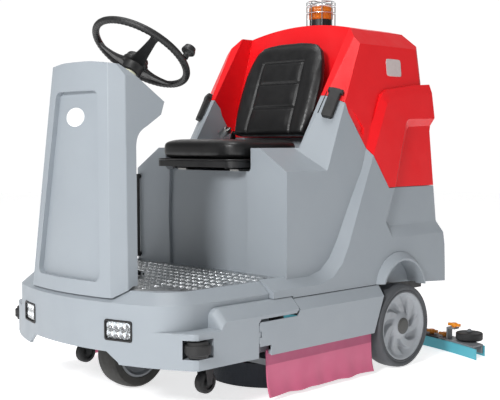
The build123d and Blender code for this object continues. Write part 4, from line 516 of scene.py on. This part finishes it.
# ---- small fittings and wheels ---------------------------------------------------------------------
# node, edge width in mm, body, material, and the least angle in degrees that is rolled over
FITTINGS = (
    ("latch_left", 1.5, "latch_l", RUBBER, 24),
    ("latch_right", 1.5, "latch_r", RUBBER, 24),
    ("backrest_knob", 1.5, "recliner", STEEL, 40),
    ("seat_pan", 1.5, "seat", BLACK, 40),
    ("sight_tube", 0.8, "machine", RUBBER, 40),
    ("squeegee_roller_left", 0.5, "sq_roller_l", RUBBER, 40),
    ("squeegee_roller_right", 0.5, "sq_roller_r", RUBBER, 40),
    ("caster_wheel_left", 0.5, "castor_left", RUBBER, 40),
    ("caster_wheel_right", 0.5, "castor_right", RUBBER, 40),
    ("steering_shaft", 0.4, "steering", STEEL_BLACK, 40),
    ("drive_tyre", 1.0, "drive_wheel", TREAD, 30),
    ("drive_wheel_hub", 1.0, "drive_wheel", STEEL_GREY, 30),
)
for node_name, width, rides_on, material, least_angle in FITTINGS:
    softened(node_name, width, rides_on, material, segments=2, angle=least_angle)

# ---- seat ---------------------------------------------------------------------------------------------
CLOTH_FRAMES = 20
SEAT_HALF_X = 217.5                 # the pads stay inside these limits, in mm
CUSHION_Y = (-277.5, 106)
CUSHION_Z = (770.6, 859.5)
BACK_DEPTH = (-63.5, -0.4)
BACK_HEIGHT = (1, 397)
BACK_BARS = (300, 212, 112)         # heights of the channels sewn across the backrest


def cloth_form(name, mesh, body, node_name, voxel_mm=6.0, cap_mm=1.5):
    """A pad: the start shape is remeshed and blown up as cloth, and no point moves further than the cap."""
    piece = place(name, mesh, body, VINYL, "seat_vinyl", (node_name,))
    remesh = piece.modifiers.new("even", "REMESH")
    remesh.mode = "VOXEL"
    remesh.voxel_size = voxel_mm * MM
    graph = bpy.context.evaluated_depsgraph_get()
    even = bpy.data.meshes.new_from_object(piece.evaluated_get(graph))
    piece.modifiers.clear()
    piece.data = even
    start = np.empty(len(even.vertices) * 3)
    even.vertices.foreach_get("co", start)
    start = start.reshape(-1, 3)
    cloth = piece.modifiers.new("cloth", "CLOTH")
    cloth.settings.use_pressure = True
    cloth.settings.uniform_pressure_force = 4.0
    cloth.settings.effector_weights.gravity = 0
    cloth.settings.quality = 5
    cloth.settings.tension_stiffness = 40
    cloth.settings.compression_stiffness = 40
    cloth.point_cache.frame_start = 1
    cloth.point_cache.frame_end = CLOTH_FRAMES
    for frame_number in range(1, CLOTH_FRAMES + 1):
        scene.frame_set(frame_number)
    graph = bpy.context.evaluated_depsgraph_get()
    blown = bpy.data.meshes.new_from_object(piece.evaluated_get(graph))
    moved = np.empty(len(blown.vertices) * 3)
    blown.vertices.foreach_get("co", moved)
    moved = moved.reshape(-1, 3)
    scene.frame_set(1)
    piece.modifiers.clear()
    step = moved - start
    length = np.linalg.norm(step, axis=1, keepdims=True)
    start = start + step * np.minimum(1, cap_mm * MM / np.maximum(length, 1e-9))
    return piece, start


def smooth_step(value, low, high):
    """0 below low, 1 above high, 3t^2 - 2t^3 between."""
    t = np.clip((value - low) / (high - low), 0, 1)
    return t * t * (3 - 2 * t)


def set_points(piece, points):
    """Writes points in metres back to a piece and shades it smooth."""
    piece.data.vertices.foreach_set("co", points.reshape(-1))
    piece.data.polygons.foreach_set("use_smooth", [True] * len(piece.data.polygons))
    piece.data.materials.clear()
    piece.data.materials.append(VINYL)
    piece.data.update()


def block_form(lows, highs, power, segments=28):
    """A closed superellipsoid block between two corners."""
    up, around = np.meshgrid(np.linspace(-pi / 2, pi / 2, segments), even_turns(4 * segments)[:, 0],
                             indexing="ij")
    q, p = power
    x = signed_power(np.cos(up), q) * signed_power(np.cos(around), p)
    y = signed_power(np.cos(up), q) * signed_power(np.sin(around), p)
    z = signed_power(np.sin(up), q)
    mid, half = (np.array(lows) + highs) / 2, (np.array(highs) - lows) / 2
    return grid(np.stack([x, y, z], -1) * half + mid, False, True)


cushion, at = cloth_form("seat_cushion_pad", block_form(np.array([-208, -268, 772]) * MM,
                                                        np.array([208, 100, 848]) * MM, (0.42, 0.36)),
                         "seat", "seat_cushion")
mm = at / MM
top = smooth_step(mm[:, 2], 800, 836)
side_roll = smooth_step(np.abs(mm[:, 0]), 110, 175)
front_roll = smooth_step(-mm[:, 1], 120, 215)
dish = -9 * (1 - side_roll) * (1 - front_roll) * top
line = (np.exp(-((np.abs(mm[:, 0]) - 128) / 4.0) ** 2) * smooth_step(-mm[:, 1], -95, -70)
        * (1 - smooth_step(-mm[:, 1], 190, 205)))
cross = np.exp(-((mm[:, 1] + 200) / 4.0) ** 2) * (1 - smooth_step(np.abs(mm[:, 0]), 118, 130))
mm[:, 2] += dish - 4.5 * top * np.maximum(line, cross)
mm[:, 2] = np.clip(mm[:, 2], *CUSHION_Z)
mm[:, 0] = np.clip(mm[:, 0], -SEAT_HALF_X, SEAT_HALF_X)
mm[:, 1] = np.clip(mm[:, 1], *CUSHION_Y)
ear = (np.abs(mm[:, 0]) > 199.5) & (mm[:, 1] > 74)
mm[ear, 0] = np.sign(mm[ear, 0]) * 199.5
set_points(cushion, mm * MM)

BACK_TILT = radians(19.4)
BACK_AT = np.array([0, 100, 868.0])
BACK_UP = np.array([0, sin(BACK_TILT), cos(BACK_TILT)])
BACK_AHEAD = np.array([0, -cos(BACK_TILT), sin(BACK_TILT)])
side_v = np.array([0, 60, 110, 180, 240, 310, 350, 376, 388, 392])
side_u = np.array([184, 198, 208, 208, 204, 188, 170, 140, 80, 0])
v_grid = np.concatenate([np.linspace(4, 352, 40), np.linspace(358, 390, 14)])
half_u = np.interp(v_grid, side_v, side_u)
around = np.linspace(0, tau, 72, endpoint=False)
bow = signed_power(np.cos(around), 0.35)
deep = signed_power(np.sin(around), 0.55)
cap = np.sqrt(np.clip(1 - smooth_step(v_grid, 330, 392) ** 2, 0.02, 1)) * smooth_step(v_grid, -14, 16)
u = half_u[:, None] * bow[None, :]
d = -32 + 26 * cap[:, None] * deep[None, :]
form = BACK_AT + u[..., None] * RIM_ACROSS + v_grid[:, None, None] * BACK_UP + d[..., None] * BACK_AHEAD
backrest, at = cloth_form("seat_back_pad", grid(form * MM, False, True, caps=True), "backrest",
                          "seat_backrest")
mm = at / MM
local = mm - BACK_AT
u, v, d = local[:, 0], local @ BACK_UP, local @ BACK_AHEAD
face = smooth_step(d, -26, -14)
edge = np.exp(-((np.abs(u) - 106 - 0.03 * (300 - v)) / 4.2) ** 2) * (1 - smooth_step(v, 296, 306))
bars = sum(np.exp(-((v - level) / 4.2) ** 2) for level in BACK_BARS)
bars = np.clip(bars, 0, 1) * (1 - smooth_step(np.abs(u), 104, 116))
puff = 5.0 * np.abs(np.sin(pi * np.clip((v - 12) / 98, 0, 2.94))) * (1 - smooth_step(np.abs(u), 80, 104))
bolster = 9.0 * smooth_step(np.abs(u), 112, 165) * (1 - smooth_step(np.abs(u), 178, 205)) * (
    1 - smooth_step(v, 230, 330))
d_new = d + face * (puff * (1 - smooth_step(v, 296, 304)) + bolster - 8.0 * np.maximum(edge, bars) - 5)
d_new = np.clip(d_new, *BACK_DEPTH)
v_new = np.clip(v, *BACK_HEIGHT)
u_new = np.clip(u, -SEAT_HALF_X, SEAT_HALF_X)
near_ear = (v_new < 34) & (np.abs(u_new) > 198)
u_new = np.where(near_ear, np.sign(u_new) * 198, u_new)
mm = BACK_AT + u_new[:, None] * RIM_ACROSS + v_new[:, None] * BACK_UP + d_new[:, None] * BACK_AHEAD
set_points(backrest, mm * MM)
for pad in (cushion, backrest):
    finer = pad.modifiers.new("rounder", "SUBSURF")
    finer.levels = 1
    finer.render_levels = 1


def pipe(name, path_mm, radius_mm, body, material, slot, closed=True, sides=10):
    """A round bead along a path: the section turns with the path's direction."""
    path = np.array(path_mm, float)
    ahead = np.roll(path, -1, 0) - np.roll(path, 1, 0)
    if not closed:
        ahead[0], ahead[-1] = path[1] - path[0], path[-1] - path[-2]
    ahead /= np.linalg.norm(ahead, axis=1, keepdims=True)
    lift = np.tile([0, 0, 1.0], (len(path), 1))
    flat = np.abs(ahead[:, 2]) > 0.95
    lift[flat] = [0, 1.0, 0]
    side = np.cross(ahead, lift)
    side /= np.linalg.norm(side, axis=1, keepdims=True)
    lift = np.cross(side, ahead)
    turn = np.linspace(0, tau, sides, endpoint=False)
    points = (path[:, None, :] + radius_mm * np.cos(turn)[None, :, None] * side[:, None, :]
              + radius_mm * np.sin(turn)[None, :, None] * lift[:, None, :])
    return place(name, grid(points * MM, closed, True, caps=not closed), body, material, slot)


def rounded_path(half_x, low_y, high_y, corner, z, count=40):
    """A rounded rectangle as a list of points at one height."""
    turn = np.linspace(0, pi / 2, count // 4)
    arcs = []
    for k, (cx, cy) in enumerate(((half_x - corner, high_y - corner), (-half_x + corner, high_y - corner),
                                  (-half_x + corner, low_y + corner), (half_x - corner, low_y + corner))):
        arcs.append(np.stack([cx + corner * np.cos(turn + k * pi / 2),
                              cy + corner * np.sin(turn + k * pi / 2), np.full(len(turn), z)], -1))
    return np.concatenate(arcs)


pipe("cushion_piping", rounded_path(214, -274, 100, 56, 774.5, 72), 3.0, "seat", VINYL, "seat_vinyl")

# ---- small plates and outlines on the mouldings -----------------------------------------------


def touch(cad_node, start, toward):
    """Where a straight line from start first meets a node, in metres, and the face direction there."""
    mesh = frame["nodes"][cad_node].data
    tree = BVHTree.FromPolygons([v.co for v in mesh.vertices], [tuple(p.vertices) for p in mesh.polygons])
    hit, normal, _, _ = tree.ray_cast(Vector(start), Vector(toward).normalized())
    return np.array(hit), np.array(normal)


def plate(name, centre, normal, up, half_w, half_h, thick_mm, body, material, slot, power=8):
    """A thin domed plate with a superellipse outline, lying on a surface."""
    n = np.array(normal) / np.linalg.norm(normal)
    up = np.array(up) - np.dot(up, n) * n
    up /= np.linalg.norm(up)
    across = np.cross(up, n)
    turn = even_turns(72)
    outline = blunt_ring(turn, power)
    grow = np.array([0, 0.6, 0.94, 0.985, 1.0, 1.0, 0.6, 0])[None, :]
    lift = np.array([1.0, 1.0, 0.96, 0.8, 0.3, -0.6, -0.6, -0.6])[None, :] * thick_mm
    points = (np.array(centre) / MM + (half_w * outline * grow * np.cos(turn))[..., None] * across
              + (half_h * outline * grow * np.sin(turn))[..., None] * up
              + (lift + 0 * turn)[..., None] * n)
    return place(name, grid(points * MM, True), body, material, slot)


badge_at, badge_normal = touch("console_shell", (-0.012, -1.2, 0.917), (0, 1, 0))
plate("badge_plate", badge_at, badge_normal, (0, 0, 1), 49, 31, 1.6, "machine", WHITE, "black_plastic",
      power=2)
label_at, label_normal = touch("recovery_tank", (1.0, 0.438, 1.120), (-1, 0, 0))
plate("label_plate", label_at, label_normal, (0, 0, 1), 46, 33, 0.9, "tank_lid", PLATE, "red_plastic")

WING_UP = np.array([0, 0.4927, 0.8702])


def latch_outline(side, sign):
    """The finger slot beside the strap, as a thin dark bead of painted shade on the wing."""
    normal = np.array([sign * 0.4648, -0.7705, 0.4362])
    outboard = np.cross(WING_UP, normal) * (1 if sign > 0 else -1)
    outboard = outboard * np.sign(outboard[0] * sign)
    middle = np.array([sign * 337.0, 105.35, 974.0]) + normal * 0.4

    def along(points):
        knots = np.array([middle + s * outboard + t * WING_UP for s, t in points])
        steps = np.linspace(0, len(knots) - 1, 8 * (len(knots) - 1) + 1)
        return np.stack([np.interp(steps, np.arange(len(knots)), knots[:, k]) for k in range(3)], -1)

    pipe(f"wing_slot_{side}", along([(-34, 44), (-38, -46)]), 1.6, "machine", SLOT_PAINTED_SHADE, "black_plastic",
         closed=False, sides=8)


both(latch_outline)

# ---- tread plate -----------------------------------------------------------------------------
PLATE_TOP = 0.376
lozenge_u = np.linspace(0, tau, 12, endpoint=False)
ring = np.stack([np.cos(lozenge_u) * 13, np.sin(lozenge_u) * 3.6], -1)
layers = [(1.0, 0.0), (0.86, 0.75), (0.5, 1.25)]       # outline scale and height of each step up
points, faces = [], []
pitch = 27.0
column = 0
x = -365.0
while x <= 365:
    y = -705.0 + (column % 2) * pitch / 2
    row = 0
    while y <= -215:
        on_corner = abs(x) > 250 and y < -640 - (abs(x) - 365) * 0.55
        near_screw = any(abs(abs(x) - 352) < 22 and abs(y - sy) < 22 for sy in (-625, -440, -255))
        in_column = abs(x) < 168 and y < -632
        by_pedal = -160 < x < 28 and -535 < y < -492
        if not (on_corner or near_screw or in_column or by_pedal):
            turn = radians(45) if (column + row) % 2 else radians(-45)
            spin = np.array([[cos(turn), -sin(turn)], [sin(turn), cos(turn)]])
            base = len(points)
            for grow, height in layers:
                flat = (ring * grow) @ spin.T
                points += [(x + p[0], y + p[1], PLATE_TOP / MM + height - 0.05) for p in flat]
            count = len(ring)
            for layer in range(len(layers) - 1):
                low = base + layer * count
                for k in range(count):
                    faces.append((low + k, low + (k + 1) % count, low + count + (k + 1) % count,
                                  low + count + k))
            faces.append([base + (len(layers) - 1) * count + k for k in range(count)])
            faces.append([base + k for k in range(count)][::-1])
        y += pitch
        row += 1
    x += pitch / 2 * 1.15
    column += 1
place("tread_lozenges", mesh_of(np.array(points) * MM, faces), "machine", ALUMINIUM, SLOT["footplate"])

# ---- camera, floor and light --------------------------------------------------------------------
CAMERA_AT = (2.69385, -2.66387, 0.83342)
CAMERA_TURN = (radians(86.74), 0, radians(45.06))
FLOOR_HALF = 12
camera_data = bpy.data.cameras.new("camera")
camera_data.lens = 72
camera_data.sensor_width = 36
camera = bpy.data.objects.new("camera", camera_data)
scene.collection.objects.link(camera)
camera.location = CAMERA_AT
camera.rotation_euler = CAMERA_TURN
scene.camera = camera

steps = np.linspace(-FLOOR_HALF, FLOOR_HALF, 9)
floor_mesh = grid(np.stack(np.meshgrid(steps, steps, [0.0], indexing="ij"), -1)[:, :, 0, :])
floor = bpy.data.objects.new("floor", floor_mesh)
scene.collection.objects.link(floor)
# white paper on a light table, so that it stays white far from the lamps
PAPER = finish("studio_paper", "#F7F7F7", "#F2F2F3", 2000, 0.8, 20, 0.01,
               **{"Emission Color": (1.0, 1.0, 1.0, 1.0), "Emission Strength": 0.7})
floor_mesh.materials.append(PAPER)

WALL_LIGHT = 1.02
ROOM_LIGHT = 0.24
world = bpy.data.worlds.new("studio")
scene.world = world
world.use_nodes = True
# a white studio wall stands behind the machine, toward -X and +Y; the rest of the room is dim
sky = world.node_tree
direction = node(sky, "ShaderNodeTexCoord").outputs["Generated"]
toward_wall = node(sky, "ShaderNodeVectorMath", {0: direction, 1: (-0.707, 0.707, 0)},
                   operation="DOT_PRODUCT").outputs["Value"]
wall = node(sky, "ShaderNodeMapRange", {"Value": toward_wall, "From Min": 0.72, "From Max": 0.90,
                                        "To Min": ROOM_LIGHT, "To Max": WALL_LIGHT}).outputs["Result"]
backdrop = sky.nodes["Background"]
backdrop.inputs["Color"].default_value = (1.0, 1.0, 1.0, 1.0)
sky.links.new(wall, backdrop.inputs["Strength"])


def softbox(name, at, toward, size, power):
    """A square area lamp aimed at a point."""
    lamp = bpy.data.lights.new(name, "AREA")
    lamp.size = size
    lamp.energy = power
    obj = bpy.data.objects.new(name, lamp)
    scene.collection.objects.link(obj)
    obj.location = at
    obj.rotation_euler = (Vector(toward) - Vector(at)).to_track_quat("-Z", "Y").to_euler()


softbox("key", (1.55, -4.6, 2.9), (0, 0, 0.5), 1.0, 190)
softbox("top", (0.0, -0.6, 4.8), (0, 0, 0.6), 2.4, 95)
scene.view_settings.view_transform = "Standard"
